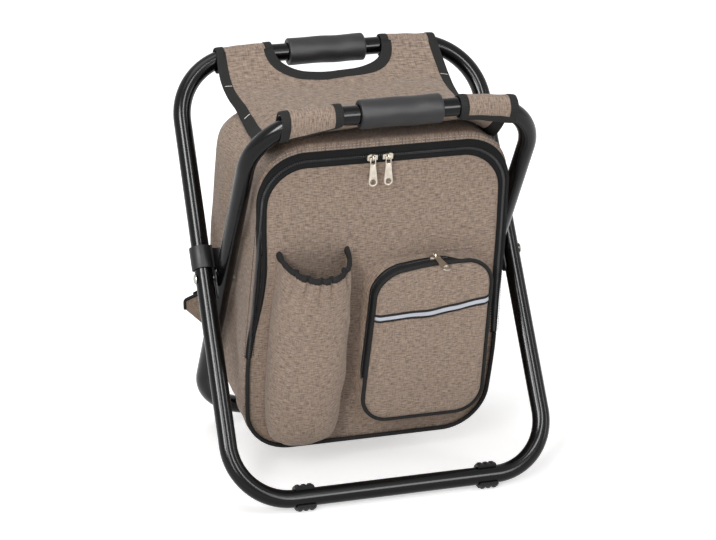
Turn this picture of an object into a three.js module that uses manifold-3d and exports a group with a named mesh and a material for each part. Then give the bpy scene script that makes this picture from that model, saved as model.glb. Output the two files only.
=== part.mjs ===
// Folding cooler stool: two bent tube loops crossed on rivets, a cloth seat slung between
// their top rails, and an insulated bag with front pockets hanging under the seat.
// Millimetres, +Z up, +X to the right, -Y to the front, origin on the floor under the middle.

import * as THREE from 'three';
import { mergeVertices } from 'three/addons/utils/BufferGeometryUtils.js';
import Module from 'manifold-3d';

const wasm = await Module();
wasm.setup();

// Driving dimensions of the frame
const TUBE_OD = 19;
const INNER_WIDTH = 300; // inner loop, leg centre to leg centre
const OUTER_TAPER = 9; // outer loop is this much wider at the floor than at the top
const PIVOT_GAP = 2.25; // clear space between the crossed legs
const RAIL_SPREAD = 262; // front rail to back rail
const RAIL_RISE = 408; // bottom rail to top rail
const BEND_RADIUS = 70;
const FLOOR_BEND_RADIUS = 62; // tighter bends at the outer loop's bottom rail
const FIT = 0.3; // clearance between pieces that touch

// Feet, grips and pivot hardware
const FOOT_SOLE = 3; // plastic under the tube
const FOOT_LENGTH = 21;
const FOOT_WALL = 3.6;
const FOOT_RIB = 1.2; // height of the ribs above the clip
const FOOT_RIB_LENGTH = 3.6;
const FOOT_RIB_PITCH = 6.6;
const FOOT_FROM = -150; // degrees round the rail from +Y, the clip's lower end
const FOOT_TO = 100;
const GRIP_LENGTH = 86;
const GRIP_OD = 30;
const GRIP_EDGE = 4;
const RIVET_D = 6;
const RIVET_HEAD_D = 11;
const RIVET_HEAD = 2;
const SPACER_D = 18;
const SPACER_TONGUE = 24; // reach of the spacer's tongue below the rivet
const SPACER_TONGUE_WIDTH = 13;
const CLIP_WALL = 2.2;
const CLIP_START = 10; // along the leg, above the rivet
const CLIP_LENGTH = 24;
const CLIP_JAW = 6; // how far the open jaw reaches past the folded leg's middle
const FOLD_LEFT_OVER = 7.9; // degrees between the legs when folded

// Seat sling
const CLOTH = 1.6;
const SLING_FROM_LEG = 26.5; // sling's side from the middle of the inner leg
const SLING_WAIST = 5; // the side edges draw in by this much
const CUTOUT_HALF = 62;
const CUTOUT_DEPTH = 36; // from the rail's middle to the bottom of the cut-out
const SLING_BELOW_RAIL = 8; // the cloth leaves its sleeve this far below the rail's middle
const SLING_ON_BAG = 0.5; // clearance over the bag's top
const SLING_FRONT_REST = 20; // the cloth meets the bag this far behind the bag's front edge
const SLING_BACK_REST = 128; // and leaves it this far behind the bag's front edge

// Bag, measured in its own tilted frame from the front face at the height of the rivets
const BAG_TILT = 10; // degrees, the bottom hangs further back
const BAG_REACH = 61.3; // front face ahead of the rivets
const BAG_TOP = 168;
const BAG_BOTTOM = 194;
const BAG_DEPTH = 170;
const BAG_CORNER = 52;
const BAG_BACK_ROUND = 42;
const BAG_TOP_FALL = 18; // the top drops by this much towards the back
const BAG_SIDE_CLEAR = 4.5; // to the rivet heads
const FABRIC = 1.5;
const FOAM = 5;
const LINING = 1;

// Front panel and its zip
const ZIP_SIDE = 4; // zip line inside the bag's side
const ZIP_TOP = 19; // zip line below the bag's top
const ZIP_BOTTOM = 4; // panel edge above the bag's bottom
const ZIP_CORNER = 46;
const ZIP_END = -76; // height where the tapes stop
const TAPE_WIDTH = 5.2;
const TAPE = 1.2;
const ZIP_GAP = 0.4; // between the zip line and each tape
const PIPING_D = 4.5;
const SLIDER_LENGTH = 11;
const SLIDER_WIDTH = 8;
const SLIDER_HEIGHT = 3.7;
const SLIDER_LEFT_X = -16;
const SLIDER_RIGHT_X = 0.5;
const BAIL_RADIUS = 3.4;
const BAIL_WIRE = 1.4;
const PULL_LENGTH = 30;
const PULL_WIDTH = 9.4;
const PULL_NECK = 6.1; // its width beside the bail
const PULL = 1.2;
const PULL_BAR = 1.6;
const PULL_HOLE_D = 6.2;
const PULL_SWING = 1.4; // bar's middle in front of the slider

// Bottle pocket
const BOTTLE_FROM_SIDE = 55.7; // its middle from the bag's side
const BOTTLE_HALF = 41.5;
const BOTTLE_DEPTH = 51;
const BOTTLE_DRAW_IN = 14; // degrees of the arc behind its widest place
const BOTTLE_BULGE = 0.85; // below 1 the arc is fuller than round
const BOTTLE_BOTTOM = -182;
const BOTTLE_RIM = 43;
const BOTTLE_RIM_DIP = 10;
const POCKET_WALL = 1.3;
const ELASTIC_D = 4;

// Zip pocket
const POCKET_FROM_BOTTLE = 18; // space between the two pockets
const POCKET_FROM_SIDE = 15.7; // its right edge from the bag's side
const POCKET_TOP = 29;
const POCKET_BOTTOM = -156;
const POCKET_DEPTH = 28;
const POCKET_CORNER = 30;
const POCKET_EDGE = 8;
const POCKET_TAPE_WIDTH = 12;
const POCKET_TAPE_BACK = 12; // tape's back edge in front of the panel
const POCKET_TAPE_END_LEFT = -106;
const POCKET_TAPE_END_RIGHT = 96;
const BINDING_D = 3.6;
const STRIP_HEIGHT = 8;
const STRIP_V = -26;
const STRIP = 0.8;
const POCKET_SLIDER_X = 55;
const POCKET_PULL_LEAN = 10; // degrees to the right
const POCKET_PULL_DROP = 6; // degrees below level, over the pocket's front edge

// Shoulder straps on the back
const STRAP_X = 62;
const STRAP_WIDTH = 55;
const STRAP_PAD = 10;
const STRAP_TOP = 104;
const STRAP_END = -8;
const WEBBING_WIDTH = 25;
const WEBBING = 1.6;
const BUCKLE_WIDTH = 33;
const BUCKLE_HEIGHT = 24;
const BUCKLE = 5;
const BUCKLE_BAR = 4;
const TAB_OUT = 36; // tip of the anchor tab beyond the bag's side
const TAB_HEIGHT = 68;
const TAB_V = -103;
const TAB_TIP_RISE = 12;
const TAB_FROM_BACK = 22;
const TAB = 2.4;

// Facets of round pieces
const SIDES = 16;
const CORNER_STEPS = 6;

// Sizes that follow from these
const TUBE_R = TUBE_OD / 2;
const RAIL_Z = FOOT_SOLE + TUBE_R;
const PIVOT_Z = RAIL_Z + RAIL_RISE / 2;
const LEAN = Math.atan2(RAIL_SPREAD, RAIL_RISE);
const LEG_REACH = Math.hypot(RAIL_SPREAD, RAIL_RISE) / 2;
const OUTER_WIDTH = INNER_WIDTH + 2 * (TUBE_OD + PIVOT_GAP);
const OUTER_X = OUTER_WIDTH / 2;
const INNER_X = INNER_WIDTH / 2;
const SLING_HALF = INNER_X - SLING_FROM_LEG;
const BAG_HALF = INNER_X - TUBE_R - FIT - RIVET_HEAD - BAG_SIDE_CLEAR;
const BOTTLE_X = -BAG_HALF + BOTTLE_FROM_SIDE;
const POCKET_LEFT = BOTTLE_X + BOTTLE_HALF + POCKET_FROM_BOTTLE;
const POCKET_RIGHT = BAG_HALF - POCKET_FROM_SIDE;
const SLEEVE_INSIDE = (TUBE_R + FIT) / Math.cos(Math.PI / (SIDES + 2)); // to the facets' corners
const SLEEVE_CLEAR = SLEEVE_INSIDE + CLOTH + FIT; // sling edge from the rail's middle
const PANEL_STACK = FABRIC + FIT + FOAM + FIT + LINING;
const TILT = THREE.MathUtils.degToRad(BAG_TILT);

const COLOURS = {
  powder_coat: { color: 0x141416, roughness: 0.3, metalness: 0.4 },
  foam_grip: { color: 0x3b3a3c, roughness: 0.85, metalness: 0 },
  plastic: { color: 0x1c1c1d, roughness: 0.5, metalness: 0 },
  steel: { color: 0xb9b6b0, roughness: 0.35, metalness: 1 },
  zinc: { color: 0xc9b48c, roughness: 0.3, metalness: 1 },
  melange: { color: 0x97877a, roughness: 0.9, metalness: 0 },
  binding: { color: 0x1d1d1e, roughness: 0.85, metalness: 0 },
  foil: { color: 0xb8bbbf, roughness: 0.4, metalness: 0.6 },
  insulation: { color: 0xe6e4df, roughness: 0.9, metalness: 0 },
  reflective: { color: 0xb9b6c6, roughness: 0.4, metalness: 0.2 },
};

const stool = new THREE.Group();

/** Adds one named piece with its own material to a group. */
function piece(parent, name, geometry, finish) {
  const mesh = new THREE.Mesh(geometry, new THREE.MeshStandardMaterial(COLOURS[finish]));
  mesh.name = name;
  parent.add(mesh);
  return mesh;
}

/** A point list as vectors in a plane. */
function flat(points) {
  return points.map(([a, b]) => new THREE.Vector2(a, b));
}

/**
 * Surface through rings of equal point count. The ends are capped with fans, or the last
 * ring joins the first where the rings close on themselves.
 */
function loft(rings, closed = false) {
  const count = rings[0].length;
  const positions = [];
  const index = [];
  rings.forEach((ring) => ring.forEach((p) => positions.push(p.x, p.y, p.z)));
  const spans = closed ? rings.length : rings.length - 1;
  for (let i = 0; i < spans; i += 1) {
    const a = i * count;
    const b = ((i + 1) % rings.length) * count;
    for (let k = 0; k < count; k += 1) {
      const n = (k + 1) % count;
      index.push(a + k, b + k, b + n, a + k, b + n, a + n);
    }
  }
  if (!closed) {
    [0, rings.length - 1].forEach((i) => {
      const middle = new THREE.Vector3();
      rings[i].forEach((p) => middle.addScaledVector(p, 1 / count));
      const centre = positions.length / 3;
      positions.push(middle.x, middle.y, middle.z);
      for (let k = 0; k < count; k += 1) {
        const n = (k + 1) % count;
        const turn = i === 0 ? [k, n] : [n, k];
        index.push(centre, i * count + turn[0], i * count + turn[1]);
      }
    });
  }
  const geometry = new THREE.BufferGeometry();
  geometry.setAttribute('position', new THREE.Float32BufferAttribute(positions, 3));
  geometry.setIndex(index);
  return facingOut(geometry);
}

/** Turns every triangle over where the enclosed volume comes out negative. */
function facingOut(geometry) {
  const p = geometry.getAttribute('position');
  const index = geometry.getIndex();
  const [a, b, c] = [new THREE.Vector3(), new THREE.Vector3(), new THREE.Vector3()];
  let volume = 0;
  for (let i = 0; i < index.count; i += 3) {
    a.fromBufferAttribute(p, index.getX(i));
    b.fromBufferAttribute(p, index.getX(i + 1));
    c.fromBufferAttribute(p, index.getX(i + 2));
    volume += a.dot(b.cross(c));
  }
  if (volume < 0) {
    for (let i = 0; i < index.count; i += 3) {
      const first = index.getX(i);
      index.setX(i, index.getX(i + 1));
      index.setX(i + 1, first);
    }
  }
  return geometry;
}

/** Closed geometry as a solid that can be joined and cut. */
function solid(geometry) {
  const bare = geometry.clone();
  bare.deleteAttribute('normal');
  bare.deleteAttribute('uv');
  const merged = mergeVertices(bare, 1e-4);
  const vertProperties = new Float32Array(merged.getAttribute('position').array);
  const triVerts = new Uint32Array(merged.getIndex().array);
  return new wasm.Manifold(new wasm.Mesh({ numProp: 3, vertProperties, triVerts }));
}

/** A joined or cut solid as geometry again. */
function surface(body) {
  const mesh = body.getMesh();
  const geometry = new THREE.BufferGeometry();
  geometry.setAttribute('position', new THREE.Float32BufferAttribute(mesh.vertProperties, 3));
  geometry.setIndex(new THREE.Uint32BufferAttribute(mesh.triVerts, 1));
  return geometry;
}

/** Straight extrusion of a shape, between two places along Z. */
function alongZ(shape, from, to, segments = 8) {
  const options = { depth: to - from, bevelEnabled: false, curveSegments: segments };
  return new THREE.ExtrudeGeometry(shape, options).translate(0, 0, from);
}

/** The same along X: the shape's axes become Y and Z. */
function alongX(shape, from, to, segments = 8) {
  const turn = new THREE.Matrix4().makeBasis(
    new THREE.Vector3(0, 1, 0),
    new THREE.Vector3(0, 0, 1),
    new THREE.Vector3(1, 0, 0),
  );
  return alongZ(shape, from, to, segments).applyMatrix4(turn);
}

/** The same along Y: the shape's axes become X and Z. */
function alongY(shape, from, to, segments = 8) {
  const turn = new THREE.Matrix4().makeBasis(
    new THREE.Vector3(1, 0, 0),
    new THREE.Vector3(0, 0, 1),
    new THREE.Vector3(0, -1, 0),
  );
  return alongZ(shape, -to, -from, segments).applyMatrix4(turn);
}

/** Round bar along X between two places. */
function barX(radius, from, to, sides = SIDES) {
  const bar = new THREE.CylinderGeometry(radius, radius, to - from, sides);
  return bar.rotateZ(Math.PI / 2).translate((from + to) / 2, 0, 0);
}

/** Box from its lowest and highest corners. */
function block(low, high) {
  const size = low.map((v, i) => high[i] - v);
  const middle = low.map((v, i) => (high[i] + v) / 2);
  return new THREE.BoxGeometry(...size).translate(...middle);
}

/** Arc points about a centre, angles in degrees. */
function arc(cx, cy, radius, from, to, steps) {
  return Array.from({ length: steps + 1 }, (_, i) => {
    const angle = THREE.MathUtils.degToRad(from + ((to - from) * i) / steps);
    return [cx + radius * Math.cos(angle), cy + radius * Math.sin(angle)];
  });
}

/** Closed outline with rounded corners, anticlockwise from the left edge's lower end. */
function roundedOutline({ left, right, bottom, top, radius }, steps = CORNER_STEPS) {
  return [
    ...arc(left + radius, bottom + radius, radius, 180, 270, steps),
    ...arc(right - radius, bottom + radius, radius, 270, 360, steps),
    ...arc(right - radius, top - radius, radius, 0, 90, steps),
    ...arc(left + radius, top - radius, radius, 90, 180, steps),
  ];
}

/** The same outline moved outwards, or inwards where the distance is negative. */
function offset({ left, right, bottom, top, radius }, out) {
  return {
    left: left - out,
    right: right + out,
    bottom: bottom - out,
    top: top + out,
    radius: Math.max(radius + out, 2),
  };
}

/** Open path over the top of an outline, from one side's height to the other's. */
function overTop({ left, right, top, radius }, leftEnd, rightEnd, steps = CORNER_STEPS) {
  return [
    [left, leftEnd],
    ...arc(left + radius, top - radius, radius, 180, 90, steps),
    ...arc(right - radius, top - radius, radius, 90, 0, steps),
    [right, rightEnd],
  ];
}

/** Open path under the bottom of an outline, from one side's height to the other's. */
function underBottom({ left, right, bottom, radius }, leftEnd, rightEnd, steps = CORNER_STEPS) {
  return [
    [left, leftEnd],
    ...arc(left + radius, bottom + radius, radius, 180, 270, steps),
    ...arc(right - radius, bottom + radius, radius, 270, 360, steps),
    [right, rightEnd],
  ];
}

/** Flat ribbon shape between two paths that run side by side. */
function ribbon(outer, inner) {
  return new THREE.Shape(flat([...outer, ...inner.slice().reverse()]));
}

/**
 * Round tube along a path in the XZ plane, at one place along Y. Each ring stands square to
 * the mean of the two directions that meet at its point.
 */
function planarTube(path, radius, y, { closed = false, sides = SIDES } = {}) {
  const points = flat(path);
  const last = points.length - 1;
  const rings = points.map((p, i) => {
    const before = points[i === 0 ? (closed ? last : 0) : i - 1];
    const after = points[i === last ? (closed ? 0 : last) : i + 1];
    const inward = p.clone().sub(before).normalize();
    const onward = after.clone().sub(p).normalize();
    const along = inward.add(onward).normalize();
    return Array.from({ length: sides }, (_, k) => {
      const angle = (2 * Math.PI * (k + 0.5)) / sides;
      const side = radius * Math.cos(angle);
      const x = p.x + along.y * side;
      const z = p.y - along.x * side;
      return new THREE.Vector3(x, y + radius * Math.sin(angle), z);
    });
  });
  return loft(rings, closed);
}

/** Lean of a loop's legs from parallel. */
function legSlope(widthBottom, widthTop) {
  return Math.atan2((widthBottom - widthTop) / 2, 2 * LEG_REACH);
}

/** Half length of a bottom rail's straight run, up to where its bends begin. */
function straightHalf(widthBottom, widthTop, bend) {
  return widthBottom / 2 - bend * Math.tan(Math.PI / 4 + legSlope(widthBottom, widthTop) / 2);
}

/** Tube loop of the frame in its own plane, with the bores for the rivets. */
function frameLoop(widthBottom, widthTop, bendBottom) {
  const slope = legSlope(widthBottom, widthTop);
  const degrees = THREE.MathUtils.radToDeg(slope);
  const low = straightHalf(widthBottom, widthTop, bendBottom);
  const high = widthTop / 2 - BEND_RADIUS * Math.tan(Math.PI / 4 - slope / 2);
  const floor = -LEG_REACH + bendBottom;
  const roof = LEG_REACH - BEND_RADIUS;
  const steps = 8;
  const path = [
    ...arc(low, floor, bendBottom, 270, 360 + degrees, steps),
    ...arc(high, roof, BEND_RADIUS, degrees, 90, steps),
    ...arc(-high, roof, BEND_RADIUS, 90, 180 - degrees, steps),
    ...arc(-low, floor, bendBottom, 180 - degrees, 270, steps),
  ];
  const tube = solid(planarTube(path, TUBE_R, 0, { closed: true }));
  const reach = OUTER_WIDTH;
  const bore = solid(barX(RIVET_D / 2 + FIT, -reach, reach, 12));
  return surface(tube.subtract(bore));
}

/** Foam grip: a turned ring with rounded ends, lying along X. */
function grip() {
  const inside = TUBE_R + FIT;
  const outside = GRIP_OD / 2;
  const half = GRIP_LENGTH / 2;
  const profile = flat([
    [inside, -half],
    ...arc(outside - GRIP_EDGE, -half + GRIP_EDGE, GRIP_EDGE, 270, 360, 3),
    ...arc(outside - GRIP_EDGE, half - GRIP_EDGE, GRIP_EDGE, 0, 90, 3),
    [inside, half],
    [inside, -half],
  ]);
  return new THREE.LatheGeometry(profile, SIDES + 4).rotateZ(Math.PI / 2);
}

/**
 * Ribbed foot clip about the origin: one ribbed strip bent round the rail, flat where it meets
 * the floor and open to the front top.
 */
function foot() {
  const inside = TUBE_R + FIT;
  const valley = TUBE_R + FOOT_WALL;
  const crest = valley + FOOT_RIB;
  const half = FOOT_LENGTH / 2;
  const ribs = [-1, 0, 1].flatMap((step) => {
    const middle = step * FOOT_RIB_PITCH;
    const rib = FOOT_RIB_LENGTH / 2;
    const after = step < 1 ? [[middle + FOOT_RIB_PITCH / 2, valley]] : [];
    return [[middle - rib, crest], [middle + rib, crest], ...after];
  });
  const strip = [[-half, inside], [-half, valley], ...ribs, [half, valley], [half, inside]];
  const steps = 12;
  const rings = Array.from({ length: steps + 1 }, (_, i) => {
    const angle = THREE.MathUtils.degToRad(FOOT_FROM + ((FOOT_TO - FOOT_FROM) * i) / steps);
    return strip.map(([x, radius]) => {
      const z = Math.max(radius * Math.sin(angle), -RAIL_Z);
      return new THREE.Vector3(x, radius * Math.cos(angle), z);
    });
  });
  return loft(rings);
}

/** Rivet along X: a shank through both legs with a low head at each end. */
function rivet() {
  const shank = RIVET_D / 2;
  const head = RIVET_HEAD_D / 2;
  const outer = OUTER_X + TUBE_R + FIT;
  const inner = INNER_X - TUBE_R - FIT;
  const profile = flat([
    [0, inner - RIVET_HEAD],
    [head - RIVET_HEAD / 2, inner - RIVET_HEAD],
    [head, inner - RIVET_HEAD / 2],
    [head, inner],
    [shank, inner],
    [shank, outer],
    [head, outer],
    [head, outer + RIVET_HEAD / 2],
    [head - RIVET_HEAD / 2, outer + RIVET_HEAD],
    [0, outer + RIVET_HEAD],
  ]);
  return new THREE.LatheGeometry(profile, SIDES).rotateZ(-Math.PI / 2);
}

/** Plastic spacer between the crossed legs: a washer with a tongue down the outer leg. */
function spacer() {
  const shape = new THREE.Shape();
  const half = SPACER_TONGUE_WIDTH / 2;
  const radius = SPACER_D / 2;
  const low = -Math.sqrt(radius * radius - half * half);
  const turn = THREE.MathUtils.radToDeg(Math.atan2(low, half));
  shape.setFromPoints(flat([
    ...arc(0, 0, radius, turn, 180 - turn, 20),
    ...arc(0, half - SPACER_TONGUE, half, 180, 360, 8),
  ]));
  shape.holes.push(new THREE.Path().setFromPoints(flat(arc(0, 0, RIVET_D / 2 + FIT, 360, 0, 16).slice(1))));
  return alongX(shape, INNER_X + TUBE_R + FIT, OUTER_X - TUBE_R - FIT);
}

/**
 * Fold clip: a collar round the outer leg with an open jaw that takes the inner leg when the
 * stool is folded. Built along the leg, rivet at the origin, leg along Z.
 */
function foldClip() {
  const top = CLIP_START + CLIP_LENGTH;
  const legX = -OUTER_X + (OUTER_TAPER / 4) * ((CLIP_START + CLIP_LENGTH / 2) / LEG_REACH);
  const jawX = -INNER_X;
  const inside = TUBE_R + FIT;
  const seat = TUBE_R + FIT;
  const rest = -CLIP_START * Math.tan(THREE.MathUtils.degToRad(FOLD_LEFT_OVER));
  const round = (x, y, radius) => {
    const bar = new THREE.CylinderGeometry(radius, radius, CLIP_LENGTH, 24);
    return solid(bar.rotateX(Math.PI / 2).translate(x, y, CLIP_START + CLIP_LENGTH / 2));
  };
  const far = 4 * TUBE_OD;
  const collar = round(legX, 0, inside + CLIP_WALL);
  const jaw = round(jawX, rest, seat + CLIP_WALL);
  const arms = solid(block(
    [jawX - seat - CLIP_WALL, rest - CLIP_JAW, CLIP_START],
    [jawX + seat + CLIP_WALL, rest, top],
  ));
  const front = solid(block([jawX - far, -far, 0], [jawX + far, rest - CLIP_JAW, far]));
  const mouth = solid(block([jawX - seat, -far, 0], [jawX + seat, rest, far]));
  const body = jaw.subtract(front).add(arms).add(collar);
  return surface(body.subtract(mouth).subtract(round(jawX, rest, seat)).subtract(round(legX, 0, inside)));
}

/**
 * Cloth sleeve on a rail, in its loop's plane: a loose tube that is round at the cut-out and
 * grows towards the rivets where the rail bends away inside it.
 */
function sleeve(widthTop) {
  const bendStart = widthTop / 2 - BEND_RADIUS;
  const run = Math.max(SLING_HALF - bendStart, 0);
  const turn = Math.asin(Math.min(run / BEND_RADIUS, 0.9));
  const drop = BEND_RADIUS * (1 - Math.cos(turn)) + TUBE_R * (1 / Math.cos(turn) - 1) + 2 * FIT;
  const stations = 4;
  const section = (radius, fraction) => Array.from({ length: SIDES + 2 }, (_, k) => {
    const angle = (2 * Math.PI * (k + 0.5)) / (SIDES + 2);
    const z = LEG_REACH + radius * Math.sin(angle) - (angle > Math.PI ? drop * fraction : 0);
    const x = CUTOUT_HALF + (SLING_HALF - CUTOUT_HALF) * fraction;
    return new THREE.Vector3(x, radius * Math.cos(angle), z);
  });
  const fractions = Array.from({ length: stations }, (_, i) => i / (stations - 1));
  const outer = fractions.map((f) => section(SLEEVE_INSIDE + CLOTH, f));
  const inner = fractions.map((f) => section(SLEEVE_INSIDE, f)).reverse();
  return { geometry: loft([...outer, ...inner], true), drop };
}

/** Place in the bag's tilted frame, as Y and Z of the stool. */
function fromBag(w, v) {
  const y = -BAG_REACH + w * Math.cos(TILT) - v * Math.sin(TILT);
  const z = PIVOT_Z + w * Math.sin(TILT) + v * Math.cos(TILT);
  return [y, z];
}

/** Height of the bag's top at a depth behind its front face. */
function bagTop(w) {
  return BAG_TOP - BAG_TOP_FALL * (w / BAG_DEPTH);
}

/**
 * Closed sheet of even thickness over a grid of points, given as columns of equal length: an
 * upper and a lower face, and a wall along each of the four edges.
 */
function sheet(columns, thickness) {
  const rows = columns[0].length;
  const across = columns.length;
  const positions = [];
  for (const lift of [thickness / 2, -thickness / 2]) {
    columns.forEach((column) => column.forEach((p) => positions.push(p.x, p.y, p.z + lift)));
  }
  const under = rows * across;
  const index = [];
  const quad = (a, b, c, d) => index.push(a, b, c, a, c, d);
  for (let i = 0; i < across - 1; i += 1) {
    for (let k = 0; k < rows - 1; k += 1) {
      const [a, b] = [i * rows + k, (i + 1) * rows + k];
      quad(a, b, b + 1, a + 1);
      quad(under + a, under + a + 1, under + b + 1, under + b);
    }
    const [front, back] = [i * rows, i * rows + rows - 1];
    quad(front, under + front, under + front + rows, front + rows);
    quad(back, back + rows, under + back + rows, under + back);
  }
  for (let k = 0; k < rows - 1; k += 1) {
    const end = (across - 1) * rows + k;
    quad(k, k + 1, under + k + 1, under + k);
    quad(end, under + end, under + end + 1, end + 1);
  }
  const geometry = new THREE.BufferGeometry();
  geometry.setAttribute('position', new THREE.Float32BufferAttribute(positions, 3));
  geometry.setIndex(index);
  return facingOut(geometry);
}

/**
 * Height of the sling's middle over the bag and up to the rails: a straight run on the bag's
 * top, with a parabola up to the sleeve at each end.
 */
function slingHeight(y) {
  const lift = SLING_ON_BAG + CLOTH / 2;
  const [frontY, frontZ] = fromBag(SLING_FRONT_REST, bagTop(SLING_FRONT_REST));
  const [backY, backZ] = fromBag(SLING_BACK_REST, bagTop(SLING_BACK_REST));
  const rest = (place) => frontZ + lift + ((backZ - frontZ) * (place - frontY)) / (backY - frontY);
  const end = RAIL_SPREAD / 2 - SLEEVE_CLEAR;
  const endZ = PIVOT_Z + RAIL_RISE / 2 - SLING_BELOW_RAIL;
  const frontCurve = (endZ - rest(-end)) / (end + frontY) ** 2;
  const backCurve = (endZ - rest(end)) / (end - backY) ** 2;
  const ahead = Math.max(frontY - y, 0);
  const behind = Math.max(y - backY, 0);
  return rest(y) + frontCurve * ahead * ahead + backCurve * behind * behind;
}

/**
 * Seat sling: columns of constant X, each from the front edge to the back edge, which step in
 * round the hand cut-outs. The side edges draw in towards the middle of the seat.
 */
function sling(frontDrop, backDrop) {
  const half = RAIL_SPREAD / 2;
  const flap = SLING_HALF - CUTOUT_HALF;
  const edge = (x, drop) => {
    const past = Math.max(Math.abs(x) - CUTOUT_HALF, 0) / flap;
    const bow = Math.sqrt(Math.max(1 - (Math.abs(x) / CUTOUT_HALF) ** 4, 0));
    return half - SLEEVE_CLEAR - drop * Math.sin(LEAN) * past - (CUTOUT_DEPTH - SLEEVE_CLEAR) * bow;
  };
  const cutSteps = 6;
  const flapSteps = 3;
  const right = [
    ...Array.from({ length: cutSteps }, (_, i) => CUTOUT_HALF * Math.sin((i / cutSteps) * (Math.PI / 2))),
    ...Array.from({ length: flapSteps + 1 }, (_, i) => CUTOUT_HALF + (flap * i) / flapSteps),
  ];
  const across = [...right.slice(1).reverse().map((x) => -x), ...right];
  const rows = 12;
  const columns = across.map((x) => {
    const from = -edge(x, frontDrop);
    const to = edge(x, backDrop);
    return Array.from({ length: rows + 1 }, (_, k) => {
      const y = from + ((to - from) * k) / rows;
      const past = Math.max(Math.abs(x) - CUTOUT_HALF, 0) / flap;
      const draw = SLING_WAIST * past * (1 - (y / half) ** 2);
      return new THREE.Vector3(x - Math.sign(x) * draw, y, slingHeight(y));
    });
  });
  return sheet(columns, CLOTH);
}

/** Ring of the bag at a depth, moved inwards from the outer cloth. */
function bagRing(w, inset) {
  const outline = offset({
    left: -BAG_HALF,
    right: BAG_HALF,
    bottom: -BAG_BOTTOM,
    top: bagTop(w),
    radius: BAG_CORNER,
  }, -inset);
  return roundedOutline(outline).map(([x, v]) => new THREE.Vector3(x, w, v));
}

/** Rings of the bag's rounded back, from the flat back forwards. */
function backRings(inset) {
  const radius = BAG_BACK_ROUND - inset;
  return [90, 60, 30, 0].map((degrees) => {
    const angle = THREE.MathUtils.degToRad(degrees);
    const w = BAG_DEPTH - BAG_BACK_ROUND + radius * Math.sin(angle);
    return bagRing(w, inset + radius * (1 - Math.cos(angle)));
  });
}

/** One layer of the bag: a deep cup, open at the front, with an inward lip where one is given. */
function bagLayer(inset, wall, rim, lip) {
  const outside = [...backRings(inset), bagRing(rim, inset)];
  const inside = [...backRings(inset + wall), bagRing(lip ? rim + wall : rim, inset + wall)];
  const lips = lip ? [
    roundedOutline(lip).map(([x, v]) => new THREE.Vector3(x, rim, v)),
    roundedOutline(lip).map(([x, v]) => new THREE.Vector3(x, rim + wall, v)),
  ] : [];
  return loft([...outside, ...lips, ...inside.reverse()]);
}

/** Zip slider about the zip line, travelling along X, with its bail standing to the front. */
function zipSlider() {
  const half = SLIDER_LENGTH / 2;
  const wide = SLIDER_WIDTH / 2;
  const tail = wide * 0.62;
  const shape = new THREE.Shape(flat([
    [-half, -tail],
    [half * 0.35, -wide],
    [half, -wide * 0.7],
    [half, wide * 0.7],
    [half * 0.35, wide],
    [-half, tail],
  ]));
  const back = -TAPE - 2 * FIT;
  const face = back - SLIDER_HEIGHT;
  const body = solid(alongY(shape, face, back));
  const ring = new THREE.TorusGeometry(BAIL_RADIUS, BAIL_WIRE / 2, 6, 16);
  const bail = solid(ring.rotateY(Math.PI / 2).translate(0, face, 0));
  const behind = solid(block([-half, back, -SLIDER_LENGTH], [half, back + SLIDER_LENGTH, SLIDER_LENGTH]));
  return { geometry: surface(body.add(bail).subtract(behind)), face };
}

/** Zip pull hanging from its bar at the origin, with a slot for the bail and a cord hole. */
function zipPull() {
  const half = PULL_WIDTH / 2;
  const neck = PULL_NECK / 2;
  const bar = PULL_BAR / 2;
  const slotWide = 2.1;
  const slotLow = -(BAIL_RADIUS + BAIL_WIRE / 2 + 2.4);
  const shape = new THREE.Shape(flat([
    [-neck, bar],
    [-neck, slotLow - PULL_BAR],
    ...arc(0, half - PULL_LENGTH, half, 180, 360, 10),
    [neck, slotLow - PULL_BAR],
    [neck, bar],
  ]));
  const slot = [[-slotWide, -bar], [slotWide, -bar], [slotWide, slotLow], [-slotWide, slotLow]];
  const cordHole = arc(0, half - PULL_LENGTH, PULL_HOLE_D / 2, 0, 330, 11);
  shape.holes.push(new THREE.Path(flat(slot)), new THREE.Path(flat(cordHole)));
  return alongY(shape, -PULL / 2, PULL / 2);
}

/**
 * Ring of the bottle pocket: an arc that bulges to the front and draws in again behind its
 * widest place, closed by a flat back that lies a given distance in front of the panel.
 */
function bottleRing({ v, half, depth, back }, inset, dip = 0) {
  const arcSteps = 16;
  const backSteps = 4;
  const drawIn = THREE.MathUtils.degToRad(BOTTLE_DRAW_IN);
  const ring = Array.from({ length: arcSteps + 1 }, (_, k) => {
    const angle = -drawIn + ((Math.PI + 2 * drawIn) * k) / arcSteps;
    const rise = Math.max((Math.sin(angle) + Math.sin(drawIn)) / (1 + Math.sin(drawIn)), 0);
    const reach = rise ** BOTTLE_BULGE;
    const x = BOTTLE_X + (half - inset) * Math.cos(angle);
    const w = -back - inset - (depth - back - 2 * inset) * reach;
    return new THREE.Vector3(x, w, v - dip * reach);
  });
  const [first, last] = [ring[0], ring[arcSteps]];
  for (let k = 1; k < backSteps; k += 1) {
    ring.push(last.clone().lerp(first, k / backSteps));
  }
  return ring;
}

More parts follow.
